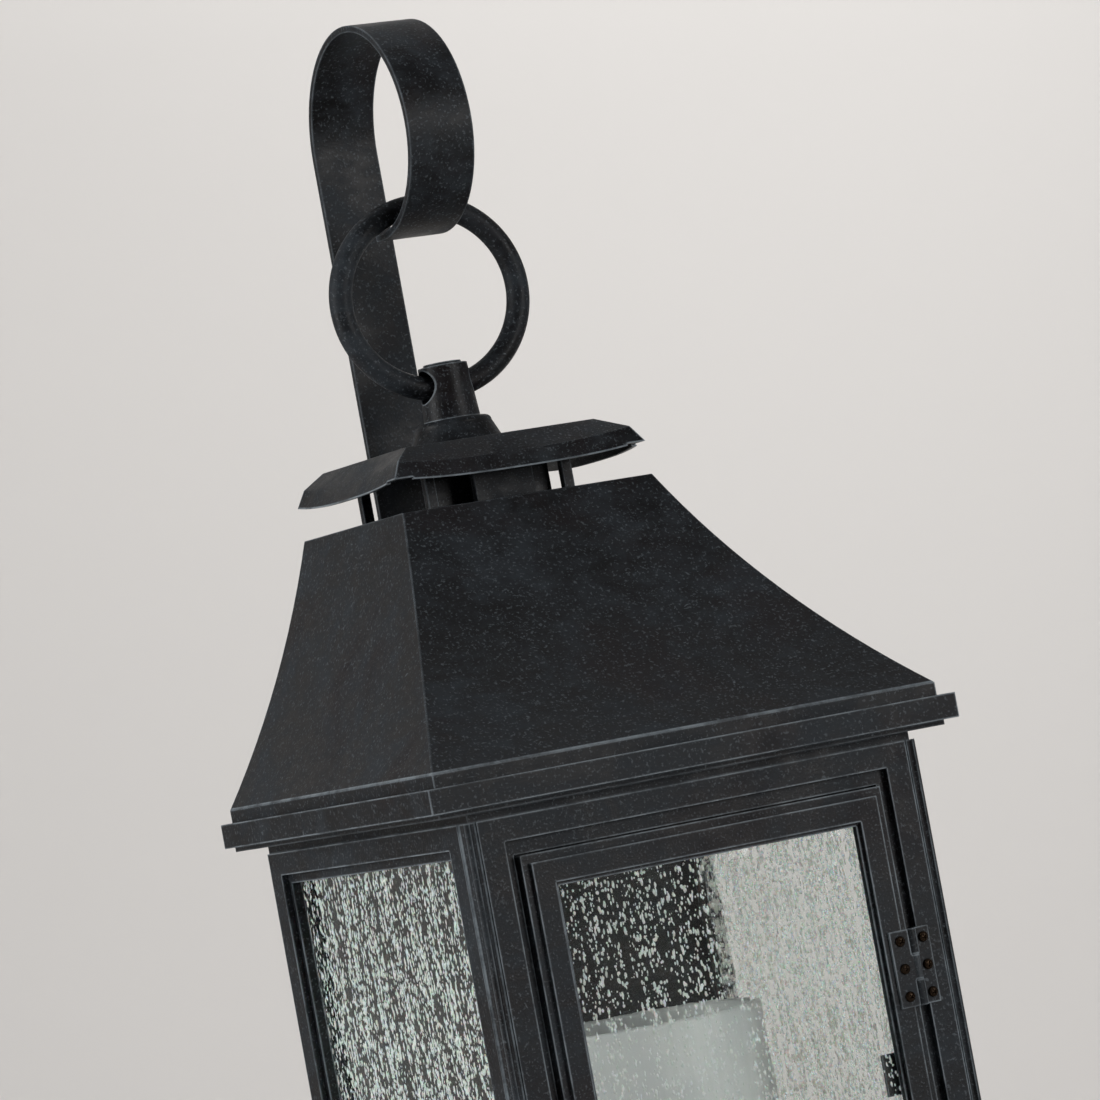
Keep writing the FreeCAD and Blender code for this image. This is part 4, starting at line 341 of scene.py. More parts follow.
def scuffed_highlit_edges():
    """Where hands and cloths rub the paint pale, with a highlight painted along the same line: outward
    edges only, broken up along their length.
    """
    tree, given, made = new_group(
        "Scuffed and highlit edges", [("Vector", "Vector", None), ("Reach", "Float", 0.001), ("Wear", "Float", 1.0)],
        [("Mask", "Float")],
    )
    inside = add_node(
        tree, "AmbientOcclusion", {"inside": True, "only_local": True, "samples": 8},
        {"Distance": given["Reach"]},
    ).outputs["AO"]
    edge = step_between(tree, inside, 0.96, 0.66)
    patches = step_between(tree, noise(tree, given["Vector"], 48.0, 7.0, 0.72), 0.36, 0.62)
    feed(tree, made["Mask"], product(tree, edge, scaled_to(tree, patches, 0.28, 1.0), given["Wear"]))
    return tree


def fine_scratches():
    """Short hair scratches and pale specks left by handling."""
    tree, given, made = new_group(
        "Fine scratches", [("Vector", "Vector", None)], [("Mask", "Float")],
    )
    place = given["Vector"]
    bend = add_node(tree, "TexNoise", {}, {"Vector": place, "Scale": 45.0, "Detail": 2.0}).outputs["Color"]
    pushed = add_node(
        tree, "VectorMath", {"operation": "MULTIPLY_ADD"},
        {0: bend, 1: (0.02, 0.02, 0.02), 2: place}).outputs[0]
    marks = None
    # Each kind: cells per metre along each axis, a mark's half width, and the share of empty cells
    kinds = (((110.0, 110.0, 560.0), 0.085, 0.88), ((560.0, 560.0, 110.0), 0.085, 0.90),
             ((240.0, 240.0, 240.0), 0.10, 0.86), ((620.0, 620.0, 620.0), 0.15, 0.87))
    for scale, width, empty in kinds:
        cells = add_node(
            tree, "TexVoronoi", {"feature": "F1"}, {"Vector": stretched(tree, pushed, scale), "Scale": 1.0})
        lot = add_node(tree, "SeparateColor", {}, {0: cells.outputs["Color"]}).outputs[0]
        dot = step_between(tree, cells.outputs["Distance"], width * 2.0, width)
        mark = product(tree, dot, step_between(tree, lot, empty - 0.04, empty + 0.08))
        marks = mark if marks is None else reckon(tree, "MAXIMUM", marks, mark)
    where = scaled_to(tree, step_between(tree, noise(tree, place, 22.0, 3.0), 0.42, 0.62), 0.15, 1.0)
    feed(tree, made["Mask"], product(tree, marks, where))
    return tree


def brushed_lines():
    """Faint lines left by the brush across a sheet, level all round."""
    tree, given, made = new_group(
        "Brushed lines", [("Vector", "Vector", None)], [("Height", "Float")],
    )
    lines = noise(tree, stretched(tree, given["Vector"], (45.0, 45.0, 900.0)), 1.0, 3.0, 0.6)
    feed(tree, made["Height"], lines)
    return tree


def settled_dust():
    """Dust that lies on what faces up."""
    tree, given, made = new_group(
        "Settled dust", [("Vector", "Vector", None), ("Amount", "Float", 0.3)], [("Mask", "Float")],
    )
    normal = add_node(tree, "NewGeometry").outputs["Normal"]
    upward = step_between(tree, add_node(tree, "SeparateXYZ", {}, {0: normal}).outputs["Z"], 0.35, 1.0)
    drifts = step_between(tree, noise(tree, given["Vector"], 75.0, 6.0, 0.7), 0.38, 0.70)
    feed(tree, made["Mask"], product(tree, upward, drifts, given["Amount"]))
    return tree


def drawn_glass():
    """Streaks and pits that run down a drawn pane: their height, and where the glass is milky."""
    tree, given, made = new_group(
        "Drawn glass", [("Vector", "Vector", None)], [("Height", "Float"), ("Milk", "Float")],
    )
    place = given["Vector"]
    streaks = noise(tree, stretched(tree, place, (330.0, 330.0, 14.0)), 1.0, 4.0, 0.62)
    pits = noise(tree, stretched(tree, place, (620.0, 620.0, 300.0)), 1.0, 2.0, 0.5)
    feed(tree, made["Height"], blend_of(tree, streaks, 0.75, pits, 0.25))
    feed(tree, made["Milk"], step_between(tree, streaks, 0.46, 0.70))
    return tree


GROUPS = {
    "Mottled patina": mottled_patina,
    "Casting grain": casting_grain,
    "Scuffed and highlit edges": scuffed_highlit_edges,
    "Fine scratches": fine_scratches,
    "Brushed lines": brushed_lines,
    "Settled dust": settled_dust,
    "Drawn glass": drawn_glass,
}


# Finishes

def new_finish(name, **values):
    """A material, its tree, its shader and the coordinates of the piece in metres. The packed model
    has plain materials of the same names, so these end in finish."""
    material = bpy.data.materials.new(f"{name}_finish")
    material.use_nodes = True
    tree = material.node_tree
    shader = tree.nodes["Principled BSDF"]
    for socket, value in values.items():
        shader.inputs[socket.replace("_", " ")].default_value = value
    return material, tree, shader, add_node(tree, "TexCoord").outputs["Object"]


def add_relief(tree, shader, height, depth, strength=1.0):
    """A bump of that depth on the shader's normal."""
    bump = add_node(tree, "Bump", {}, {"Height": height, "Distance": depth, "Strength": strength})
    feed(tree, shader.inputs["Normal"], bump.outputs["Normal"])


def charcoal_finish(name, grain_setting, fineness=1.0, brushed=0.0, edge_paleness=1.0, clouds=1.0):
    """Near-black patinated metal with pale edges, partly scuffed paint and partly a painted highlight, and
    painted glints on its grain; grain_setting names its grain's depth.
    """
    metal = bpy.context.scene.lantern_metal
    material, tree, shader, place = new_finish(name, Metallic=0.0, Specular_IOR_Level=0.23)
    patina = place_group(
        tree, "Mottled patina", Vector=place, Charcoal=opaque(metal.charcoal),
        Slate=opaque(metal.slate), Umber=opaque(metal.umber), Clouds=clouds)
    grain = place_group(tree, "Casting grain", Vector=place, Fineness=fineness)
    rubbed = place_group(tree, "Scuffed and highlit edges", Vector=place, Reach=metal.edge_reach, Wear=edge_paleness)["Mask"]
    marks = place_group(tree, "Fine scratches", Vector=place)["Mask"]
    dusty = place_group(tree, "Settled dust", Vector=place, Amount=0.10)["Mask"]
    pale = opaque(metal.rubbed)
    # Painted glints: the grain's peaks are painted pale to stand for light catching them.
    glint_painted = mix_colours(tree, product(tree, grain["Painted_glints"], 0.25), patina["Color"], pale)
    marked = mix_colours(tree, product(tree, marks, 0.30), glint_painted, pale)
    # Pale edges: scuffed paint and a painted highlight along the outward edges.
    with_scuffed_highlit_edges = mix_colours(tree, rubbed, marked, pale)
    feed(tree, shader.inputs["Base Color"], mix_colours(tree, dusty, with_scuffed_highlit_edges, (0.07, 0.07, 0.066, 1.0)))
    feed(tree, shader.inputs["Roughness"], reckon(
        tree, "SUBTRACT", patina["Roughness"], product(tree, rubbed, 0.08)))
    height = grain["Height"]
    if brushed:
        lines = place_group(tree, "Brushed lines", Vector=place)["Height"]
        height = reckon(tree, "ADD", height, product(tree, lines, brushed))
    add_relief(tree, shader, height, getattr(metal, grain_setting))
    return material


def plated_finish(name, colour, roughness, tarnish):
    """Bare or plated metal, duller where it has tarnished; colour may name a setting."""
    if isinstance(colour, str):
        colour = getattr(bpy.context.scene.lantern_metal, colour)
    material, tree, shader, place = new_finish(name, Metallic=1.0)
    cloud = step_between(tree, noise(tree, place, 260.0, 5.0, 0.6), 0.35, 0.70)
    feed(tree, shader.inputs["Base Color"], mix_colours(
        tree, product(tree, cloud, 0.7), opaque(colour), opaque(tarnish)))
    feed(tree, shader.inputs["Roughness"], scaled_to(tree, cloud, roughness, roughness + 0.22))
    grain = place_group(tree, "Casting grain", Vector=place, Fineness=1.6)
    add_relief(tree, shader, grain["Height"], 0.05 * MM)
    return material


def seeded_glass_finish(name):
    """Clear drawn glass, a little milky in streaks. Lamps shine through it."""
    glass = bpy.context.scene.lantern_glass
    material, tree, shader, place = new_finish(name, Transmission_Weight=1.0, IOR=1.46, Metallic=0.0)
    drawn = place_group(tree, "Drawn glass", Vector=place)
    red, green, blue = glass.tint
    milky = (red * 0.95, green * 0.97, blue * 0.95, 1.0)
    feed(tree, shader.inputs["Base Color"], mix_colours(tree, drawn["Milk"], opaque(glass.tint), milky))
    feed(tree, shader.inputs["Roughness"], scaled_to(tree, drawn["Milk"], 0.0, 0.04))
    add_relief(tree, shader, drawn["Height"], 0.02 * MM, 0.8)
    clear = add_node(tree, "BsdfTransparent", {}, {"Color": (0.86, 0.90, 0.88, 1.0)})
    shadow = add_node(tree, "LightPath").outputs["Is Shadow Ray"]
    mixed = add_node(tree, "MixShader", {}, {0: shadow, 1: shader.outputs[0], 2: clear.outputs[0]})
    feed(tree, tree.nodes["Material Output"].inputs["Surface"], mixed.outputs[0])
    return material


def glass_seed_finish(name):
    """Bubbles in the glass, bright because they throw light every way. Their weak glow stands for
    the light that reaches them from behind."""
    glass = bpy.context.scene.lantern_glass
    material, tree, shader, place = new_finish(
        name, Transmission_Weight=0.08, IOR=1.1, Metallic=0.0, Specular_IOR_Level=0.9,
        Subsurface_Weight=0.6, Subsurface_Scale=0.003, Emission_Strength=0.15)
    spread = step_between(tree, noise(tree, place, 420.0, 2.0), 0.3, 0.7)
    feed(tree, shader.inputs["Base Color"], mix_colours(
        tree, spread, opaque(glass.seed), (0.72, 0.76, 0.72, 1.0)))
    # Painted glow: the emission stands for the light that reaches the bubbles from behind.
    feed(tree, shader.inputs["Emission Color"], mix_colours(
        tree, spread, (0.9, 0.94, 0.92, 1.0), (0.55, 0.60, 0.58, 1.0)))
    feed(tree, shader.inputs["Roughness"], scaled_to(tree, spread, 0.25, 0.6))
    return material


def opal_finish(name):
    """White cased glass with faint rings from its forming."""
    glass = bpy.context.scene.lantern_glass
    material, tree, shader, place = new_finish(
        name, Metallic=0.0, Subsurface_Weight=0.25, Subsurface_Scale=0.02)
    shader.inputs["Subsurface Radius"].default_value = (1.0, 0.95, 0.9)
    cloud = step_between(tree, noise(tree, place, 30.0, 4.0, 0.5), 0.35, 0.65)
    feed(tree, shader.inputs["Base Color"], mix_colours(
        tree, cloud, opaque(glass.opal), (0.83, 0.835, 0.84, 1.0)))
    feed(tree, shader.inputs["Roughness"], scaled_to(tree, cloud, 0.30, 0.42))
    rings = noise(tree, stretched(tree, place, (25.0, 25.0, 240.0)), 1.0, 2.0)
    add_relief(tree, shader, rings, 0.08 * MM)
    return material


def bulb_glass_finish(name):
    """Frosted glass of the bulb."""
    material, tree, shader, place = new_finish(name, Metallic=0.0, Transmission_Weight=0.4, IOR=1.45)
    frost = noise(tree, place, 900.0, 2.0)
    feed(tree, shader.inputs["Base Color"], mix_colours(
        tree, frost, (0.93, 0.93, 0.92, 1.0), (0.87, 0.88, 0.88, 1.0)))
    feed(tree, shader.inputs["Roughness"], scaled_to(tree, frost, 0.32, 0.5))
    return material


def moulded_finish(name, colour, roughness, depth):
    """Rubber or glazed ceramic with a soft variation of tone."""
    material, tree, shader, place = new_finish(name, Metallic=0.0)
    cloud = step_between(tree, noise(tree, place, 170.0, 4.0), 0.35, 0.68)
    darker = tuple(0.82 * part for part in colour)
    feed(tree, shader.inputs["Base Color"], mix_colours(tree, cloud, opaque(colour), opaque(darker)))
    feed(tree, shader.inputs["Roughness"], scaled_to(tree, cloud, roughness, roughness + 0.15))
    add_relief(tree, shader, noise(tree, place, 700.0, 3.0), depth)
    return material


# Each finish: what makes it, and the values it is made with
FINISHES = {
    "roof_charcoal": (charcoal_finish, {
        "grain_setting": "sheet_grain", "fineness": 0.8, "brushed": 0.9, "clouds": 0.9}),
    "cast_charcoal": (charcoal_finish, {"grain_setting": "casting_grain"}),
    "wrought_charcoal": (charcoal_finish, {
        "grain_setting": "casting_grain", "fineness": 0.85, "edge_paleness": 0.5, "clouds": 1.1}),
    "black_sheet": (charcoal_finish, {
        "grain_setting": "sheet_grain", "fineness": 1.2, "edge_paleness": 0.35, "clouds": 0.6}),
    "zinc_steel": (plated_finish, {"colour": "zinc", "roughness": 0.28, "tarnish": (0.24, 0.24, 0.235)}),
    "bronze_screw": (plated_finish, {
        "colour": "bronze", "roughness": 0.26, "tarnish": (0.035, 0.025, 0.018)}),
    "green_screw": (plated_finish, {
        "colour": (0.05, 0.30, 0.12), "roughness": 0.32, "tarnish": (0.02, 0.14, 0.06)}),
    "brass": (plated_finish, {"colour": "brass", "roughness": 0.22, "tarnish": (0.30, 0.19, 0.07)}),
    "seeded_glass": (seeded_glass_finish, {}),
    "glass_seed": (glass_seed_finish, {}),
    "opal_glass": (opal_finish, {}),
    "bulb_glass": (bulb_glass_finish, {}),
    "rubber": (moulded_finish, {"colour": (0.018, 0.018, 0.019), "roughness": 0.62, "depth": 0.04 * MM}),
    "white_ceramic": (moulded_finish, {
        "colour": (0.80, 0.79, 0.76), "roughness": 0.16, "depth": 0.01 * MM}),
}


def finish(name):
    """The finish of that name, made the first time it is asked for."""
    make, values = FINISHES[name]
    return bpy.data.materials.get(f"{name}_finish") or make(name, **values)


# Pieces

def node_object(node):
    """The packed piece of that name."""
    if node not in frame["nodes"]:
        raise RuntimeError(f"the frame has no piece named {node}")
    return frame["nodes"][node]


def body_of_node(node):
    """The body that the packed piece rides on."""
    return node_object(node)["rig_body"]


def sharp_corners():
    """Nodes that shade a mesh smooth but for the edges where its faces meet at more than SHARP_DEGREES."""
    tree = bpy.data.node_groups.new("Sharp corners", "GeometryNodeTree")
    tree.is_modifier = True
    tree.interface.new_socket("Mesh", in_out="INPUT", socket_type="NodeSocketGeometry")
    tree.interface.new_socket("Mesh", in_out="OUTPUT", socket_type="NodeSocketGeometry")
    mesh = tree.nodes.new("NodeGroupInput").outputs["Mesh"]
    angle = tree.nodes.new("GeometryNodeInputMeshEdgeAngle").outputs["Unsigned Angle"]
    sharp = tree.nodes.new("FunctionNodeCompare")
    sharp.operation = "GREATER_THAN"
    tree.links.new(angle, sharp.inputs["A"])
    sharp.inputs["B"].default_value = math.radians(SHARP_DEGREES)
    for domain, selection, smooth in (("FACE", None, True), ("EDGE", sharp.outputs["Result"], False)):
        shade = tree.nodes.new("GeometryNodeSetShadeSmooth")
        shade.domain = domain
        shade.inputs["Shade Smooth"].default_value = smooth
        if selection:
            tree.links.new(selection, shade.inputs["Selection"])
        tree.links.new(mesh, shade.inputs["Geometry"])
        mesh = shade.outputs["Geometry"]
    tree.links.new(mesh, tree.nodes.new("NodeGroupOutput").inputs["Mesh"])
    return tree


def dress(node, finish_name, edge_round=0.0):
    """Gives a packed piece its finish and, with edge_round, softened edges."""
    piece = node_object(node)
    piece.data.materials.clear()
    piece.data.materials.append(finish(finish_name))
    if edge_round:
        weld = piece.modifiers.new("joined corners", "WELD")
        weld.merge_threshold = JOINED
        flats = piece.modifiers.new("whole flats", "DECIMATE")
        flats.decimate_type = "DISSOLVE"
        flats.angle_limit = math.radians(FLAT_DEGREES)
        corners = piece.modifiers.new("sharp corners", "NODES")
        corners.node_group = bpy.data.node_groups.get("Sharp corners") or sharp_corners()
        soft = piece.modifiers.new("softened edges", "BEVEL")
        soft.width = edge_round
        soft.segments = 2
        soft.limit_method = "ANGLE"
        soft.angle_limit = math.radians(SHARP_DEGREES)
        soft.harden_normals = True


def new_piece(name, mesh, body, slot, finish_name, *nodes):
    """A piece made here that rides on a body. With nodes, it stands for those packed ones."""
    piece = bpy.data.objects.new(name, mesh)
    bpy.context.scene.collection.objects.link(piece)
    mesh.materials.clear()
    mesh.materials.append(finish(finish_name))
    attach(piece, body)
    if nodes:
        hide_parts(*nodes)
    return piece


def separate_solids(node):
    """The corner points of each separate solid of a packed piece."""
    drawn = bmesh.new()
    drawn.from_mesh(node_object(node).data)
    bmesh.ops.remove_doubles(drawn, verts=drawn.verts, dist=JOINED)
    waiting, found = set(drawn.verts), []
    while waiting:
        group, todo = [], [waiting.pop()]
        while todo:
            corner = todo.pop()
            group.append(corner.co.copy())
            for edge in corner.link_edges:
                other = edge.other_vert(corner)
                if other in waiting:
                    waiting.discard(other)
                    todo.append(other)
        found.append(np.array(group))
    drawn.free()
    return sorted(found, key=lambda points: tuple(points.mean(0).round(5)))


def measure_screw(points):
    """Head's outer end, direction out of the head, head radius and height, shank radius and length."""
    low, high = points.min(0), points.max(0)
    middle, span = (low + high) / 2, high - low
    round_gap = [abs(span[(a + 1) % 3] - span[(a + 2) % 3]) for a in range(3)]
    lean = np.abs(points.mean(0) - middle)
    axis = min(range(3), key=lambda a: (round(round_gap[a] / span.max(), 2), -lean[a]))
    others = [a for a in range(3) if a != axis]
    reach = np.linalg.norm(points[:, others] - middle[others], axis=1)
    head_radius = span[others].max() / 2
    near_low = reach[points[:, axis] < low[axis] + 0.1 * span[axis]].max()
    near_high = reach[points[:, axis] > high[axis] - 0.1 * span[axis]].max()
    sign = 1.0 if near_high > near_low else -1.0
    shank_radius = min(near_low, near_high)
    wide = points[reach > (head_radius + shank_radius) / 2, axis]
    end = high[axis] if sign > 0 else low[axis]
    head_height = np.abs(end - wide).max()
    out = np.zeros(3)
    out[axis] = sign
    tip = middle.copy()
    tip[axis] = end
    return Vector(tip), Vector(out), head_radius, head_height, shank_radius, span[axis] - head_height


def turned_mesh(drawn, profile, sides=32):
    """Adds a form turned about Z to a bmesh. Its profile of radii and heights starts on the axis."""
    rings = []
    for radius, height in profile:
        if radius < 1e-7:
            rings.append([drawn.verts.new((0.0, 0.0, height))])
            continue
        turns = (math.tau * i / sides for i in range(sides))
        rings.append([drawn.verts.new((radius * math.cos(t), radius * math.sin(t), height)) for t in turns])
    for first, second in zip(rings, rings[1:]):
        for i in range(sides):
            j = (i + 1) % sides
            corners = [first[i % len(first)], first[j % len(first)]]
            corners += [second[j % len(second)], second[i % len(second)]]
            drawn.faces.new(list(dict.fromkeys(corners)))
    bmesh.ops.recalc_face_normals(drawn, faces=drawn.faces)


def mesh_of(name, drawn, smooth_angle=35.0):
    """Turns a bmesh into a mesh, smooth where its faces meet at less than that angle."""
    mesh = bpy.data.meshes.new(name)
    drawn.to_mesh(mesh)
    drawn.free()
    mesh.polygons.foreach_set("use_smooth", [True] * len(mesh.polygons))
    mesh.set_sharp_from_angle(angle=math.radians(smooth_angle))
    return mesh


def cross_recess(head_radius, depth):
    """A tapered cross to cut into a screw head, its mouth a little above Z 0."""
    drawn = bmesh.new()
    arm, half = 0.62 * head_radius, 0.15 * head_radius
    outline = []
    for quarter in range(4):
        turn = Matrix.Rotation(quarter * math.pi / 2, 2)
        outline += [turn @ Vector(corner) for corner in ((arm, -half), (arm, half), (half, half))]
    over = 0.3 * depth
    levels = []
    for height, share in ((over, 1.12), (-depth, 0.42)):
        levels.append([drawn.verts.new((share * p.x, share * p.y, height)) for p in outline])
    drawn.faces.new(levels[0])
    drawn.faces.new(list(reversed(levels[1])))
    for i in range(len(outline)):
        j = (i + 1) % len(outline)
        drawn.faces.new((levels[0][j], levels[0][i], levels[1][i], levels[1][j]))
    bmesh.ops.recalc_face_normals(drawn, faces=drawn.faces)
    return mesh_of("cross recess", drawn)


def screw_mesh(head_radius, head_height, shank_radius, shank_length):
    """One round-head screw with a cross recess; its head's top is at Z 0 and its shank runs down."""
    dome_steps, dome_height = 7, 0.72 * head_height
    pitch, core_radius = max(0.45 * MM, 0.34 * shank_radius), 0.78 * shank_radius
    profile = [(0.0, 0.0)]
    for i in range(1, dome_steps + 1):
        turn = math.pi / 2 * i / dome_steps
        profile.append((head_radius * math.sin(turn) ** 0.9, -dome_height * (1 - math.cos(turn))))
    profile += [(head_radius, -head_height), (shank_radius, -head_height)]
    turns = max(1, int((shank_length - 2 * shank_radius) / pitch))
    for i in range(turns):
        at = -head_height - i * pitch
        profile += [(shank_radius, at - 0.30 * pitch), (core_radius, at - 0.65 * pitch)]
    profile += [(core_radius, -head_height - turns * pitch), (0.0, -head_height - shank_length)]
    drawn = bmesh.new()
    turned_mesh(drawn, profile)
    screw = bpy.data.objects.new("screw blank", mesh_of("screw blank", drawn))
    cutter = bpy.data.objects.new("recess cutter", cross_recess(head_radius, 0.62 * head_height))
    for made in (screw, cutter):
        bpy.context.scene.collection.objects.link(made)
    cut = screw.modifiers.new("cross recess", "BOOLEAN")
    cut.object = cutter
    cut.solver = "EXACT"
    bpy.context.view_layer.update()
    shaped = bpy.data.meshes.new_from_object(screw.evaluated_get(bpy.context.evaluated_depsgraph_get()))
    for made in (screw, cutter):
        bpy.data.objects.remove(made)
    return shaped


def make_screws(node, slot, finish_name):
    """Stands cross-recessed screws in the place of a packed group of plain ones."""
    drawn, blanks = bmesh.new(), {}
    rng = np.random.default_rng(len(node))
    for points in separate_solids(node):
        tip, out, *sizes = measure_screw(points)
        key = tuple(round(size / MM, 2) for size in sizes)
        if key not in blanks:
            blanks[key] = screw_mesh(*sizes)
        single = bmesh.new()
        single.from_mesh(blanks[key])
        spin = Matrix.Rotation(rng.uniform(0, math.tau), 4, "Z")
        stand = out.to_track_quat("Z", "Y").to_matrix().to_4x4()
        single.transform(Matrix.Translation(tip) @ stand @ spin)
        placed = bpy.data.meshes.new("placed screw")
        single.to_mesh(placed)
        single.free()
        drawn.from_mesh(placed)
        bpy.data.meshes.remove(placed)
    mesh = mesh_of(f"{node}_crossed", drawn)
    return new_piece(f"{node}_crossed", mesh, body_of_node(node), slot, finish_name, node)


def smooth_waves(rng, across, along, cells_across, cells_along):
    """A field of smooth random waves from -1 to 1 on an across by along grid."""
    coarse = rng.uniform(-1, 1, (cells_across + 3, cells_along + 3))
    u, v = np.linspace(0, cells_across, across), np.linspace(0, cells_along, along)
    i, j = np.minimum(u.astype(int), cells_across), np.minimum(v.astype(int), cells_along)
    a, b = (u - i)[:, None], (v - j)[None, :]
    a, b = a * a * (3 - 2 * a), b * b * (3 - 2 * b)
    near, far = ((1 - b) * coarse[np.ix_(i + p, j)] + b * coarse[np.ix_(i + p, j + 1)] for p in (0, 1))
    return (1 - a) * near + a * far


def axes_of_pane(low, high):
    """The size along each axis, and the numbers of the axes through, across and up the pane."""
    span = high - low
    thin = min(range(3), key=lambda a: span[a])
    wide, tall = [a for a in range(3) if a != thin]
    return span, thin, wide, tall


def pane_mesh(name, low, high, ripple, rng):
    """A pane whose two faces wave a little, with plain ground edges."""
    span, thin, wide, tall = axes_of_pane(low, high)
    across, along = int(span[wide] / PANE_CELL) + 1, int(span[tall] / PANE_CELL) + 1
    u = np.linspace(low[wide], high[wide], across)
    v = np.linspace(low[tall], high[tall], along)
    crest = sum(share for share, _, _ in PANE_WAVES)
    drawn, sheets = bmesh.new(), []
    for face, inward in ((low[thin], 1), (high[thin], -1)):
        waves = np.zeros((across, along))
        for share, wave_width, wave_height in PANE_WAVES:
            cells = (int(span[wide] / wave_width), int(span[tall] / wave_height))
            waves += share * smooth_waves(rng, across, along, *cells)
        depth = face + inward * (SEED_ROOM + ripple * (crest + waves))
        rows = []
        for i in range(across):
            row = []
            for j in range(along):
                point = [0.0, 0.0, 0.0]
                point[wide], point[tall], point[thin] = u[i], v[j], depth[i, j]
                row.append(drawn.verts.new(point))
            rows.append(row)
        for i in range(across - 1):
            for j in range(along - 1):
                drawn.faces.new((rows[i][j], rows[i + 1][j], rows[i + 1][j + 1], rows[i][j + 1]))
        rim = [rows[i][0] for i in range(across)]
        rim += [rows[-1][j] for j in range(1, along)]
        rim += [rows[i][-1] for i in range(across - 2, -1, -1)]
        rim += [rows[0][j] for j in range(along - 2, 0, -1)]
        sheets.append(rim)
    for i in range(len(sheets[0])):
        j = (i + 1) % len(sheets[0])
        drawn.faces.new((sheets[0][i], sheets[0][j], sheets[1][j], sheets[1][i]))
    bmesh.ops.recalc_face_normals(drawn, faces=drawn.faces)
    return mesh_of(name, drawn, smooth_angle=50.0)


def bubble_blank():
    """The corners and triangles of a bubble of radius 1, a six-sided gem that is shaded round."""
    turns = [math.tau * i / 6 for i in range(6)]
    corners = [(math.cos(t), math.sin(t), 0.0) for t in turns] + [(0.0, 0.0, 1.0), (0.0, 0.0, -1.0)]
    faces = [(i, (i + 1) % 6, 6) for i in range(6)] + [((i + 1) % 6, i, 7) for i in range(6)]
    return np.array(corners), np.array(faces)


def streaky_places(rng, low, high, count):
    """Random places from low to high, crowded together in streaks that lie 3 to 23 mm apart."""
    tries = 6 * count
    tried = rng.uniform(low, high, tries)
    waves = sum(np.sin(tried * math.tau / width + turn) for width, turn in zip(
        (23 * MM, 9.1 * MM, 4.3 * MM, 2.7 * MM), rng.uniform(0, math.tau, 4)))
    wanted = rng.uniform(0, 1, tries) < 0.42 + 0.15 * waves
    return tried[wanted][:count]


def seed_mesh(name, low, high, outward, per_area, radius, rng):
    """Bubbles that just break the outer face of a pane, drawn out a little along its height. outward
    is 1 where that face is at high, and -1 where it is at low."""
    span, thin, wide, tall = axes_of_pane(low, high)
    corners, faces = bubble_blank()
    square_centimetres = span[wide] * span[tall] * 1e4
    across = streaky_places(
        rng, low[wide] + SEED_RIM, high[wide] - SEED_RIM, int(per_area * square_centimetres))
    count = len(across)
    radii = radius * np.clip(rng.lognormal(0.0, SEED_SPREAD, count), *SEED_SIZES)
    centres = np.empty((count, 3))
    centres[:, wide] = across
    centres[:, tall] = rng.uniform(low[tall] + SEED_RIM, high[tall] - SEED_RIM, count)
    face = high[thin] if outward > 0 else low[thin]
    centres[:, thin] = face - outward * (radii + rng.uniform(*SEED_COVER, count) * MM)
    turned = np.empty_like(corners)
    turned[:, thin], turned[:, wide], turned[:, tall] = corners[:, 2], corners[:, 0], corners[:, 1]
    stretch = np.ones((count, 3))
    stretch[:, tall] = rng.uniform(*SEED_LENGTHS, count)
    points = centres[:, None, :] + turned[None, :, :] * (radii[:, None] * stretch)[:, None, :]
    polygons = (faces[None, :, :] + (np.arange(count) * len(corners))[:, None, None]).reshape(-1, 3)
    mesh = bpy.data.meshes.new(name)
    mesh.from_pydata(points.reshape(-1, 3).tolist(), [], polygons.tolist())
    drawn = bmesh.new()
    drawn.from_mesh(mesh)
    bmesh.ops.recalc_face_normals(drawn, faces=drawn.faces)
    drawn.to_mesh(mesh)
    drawn.free()
    mesh.polygons.foreach_set("use_smooth", [True] * len(mesh.polygons))
    return mesh


# Operators, one for each piece or group of like pieces

class LANTERN_OT_roof(bpy.types.Operator):
    """Finishes the roof, its eaves and the vent cap over it"""

    bl_idname = "lantern.roof"
    bl_label = "Finish the roof"

    def execute(self, context):
        soft = context.scene.lantern_metal.edge_round
        for node in ("roof", "eaves"):
            dress(node, "roof_charcoal", soft)
        for node in ("vent_cap", "collar", "stem", "vent_neck"):
            dress(node, "cast_charcoal", soft)
        # The baffle is a black sheet under the vent cap that stands in for the deep shade there.
        for node in ("soffit", "top_frame", "baffle", "cap_stay"):
            dress(node, "black_sheet", soft)
        return {"FINISHED"}


class LANTERN_OT_strap(bpy.types.Operator):
    """Finishes the crook strap and the loose ring that hangs in it"""

    bl_idname = "lantern.strap"
    bl_label = "Finish the strap and ring"

    def execute(self, context):
        soft = context.scene.lantern_metal.edge_round
        dress("crook_strap", "wrought_charcoal", soft)
        dress("ring", "wrought_charcoal")
        dress("strap_spacer", "zinc_steel", soft)
        return {"FINISHED"}


class LANTERN_OT_frames(bpy.types.Operator):
    """Finishes the body: corner posts, frames, base and back"""

    bl_idname = "lantern.frames"
    bl_label = "Finish the body"

    def execute(self, context):
        soft = context.scene.lantern_metal.edge_round
        for node in ("front_frame", "left_side_frame", "right_side_frame", "left_corner_post",
                     "right_corner_post", "base"):
            dress(node, "cast_charcoal", soft)
        for node in ("back_panel", "base_plate", "side_glass_clips"):
            dress(node, "black_sheet", soft)
        return {"FINISHED"}


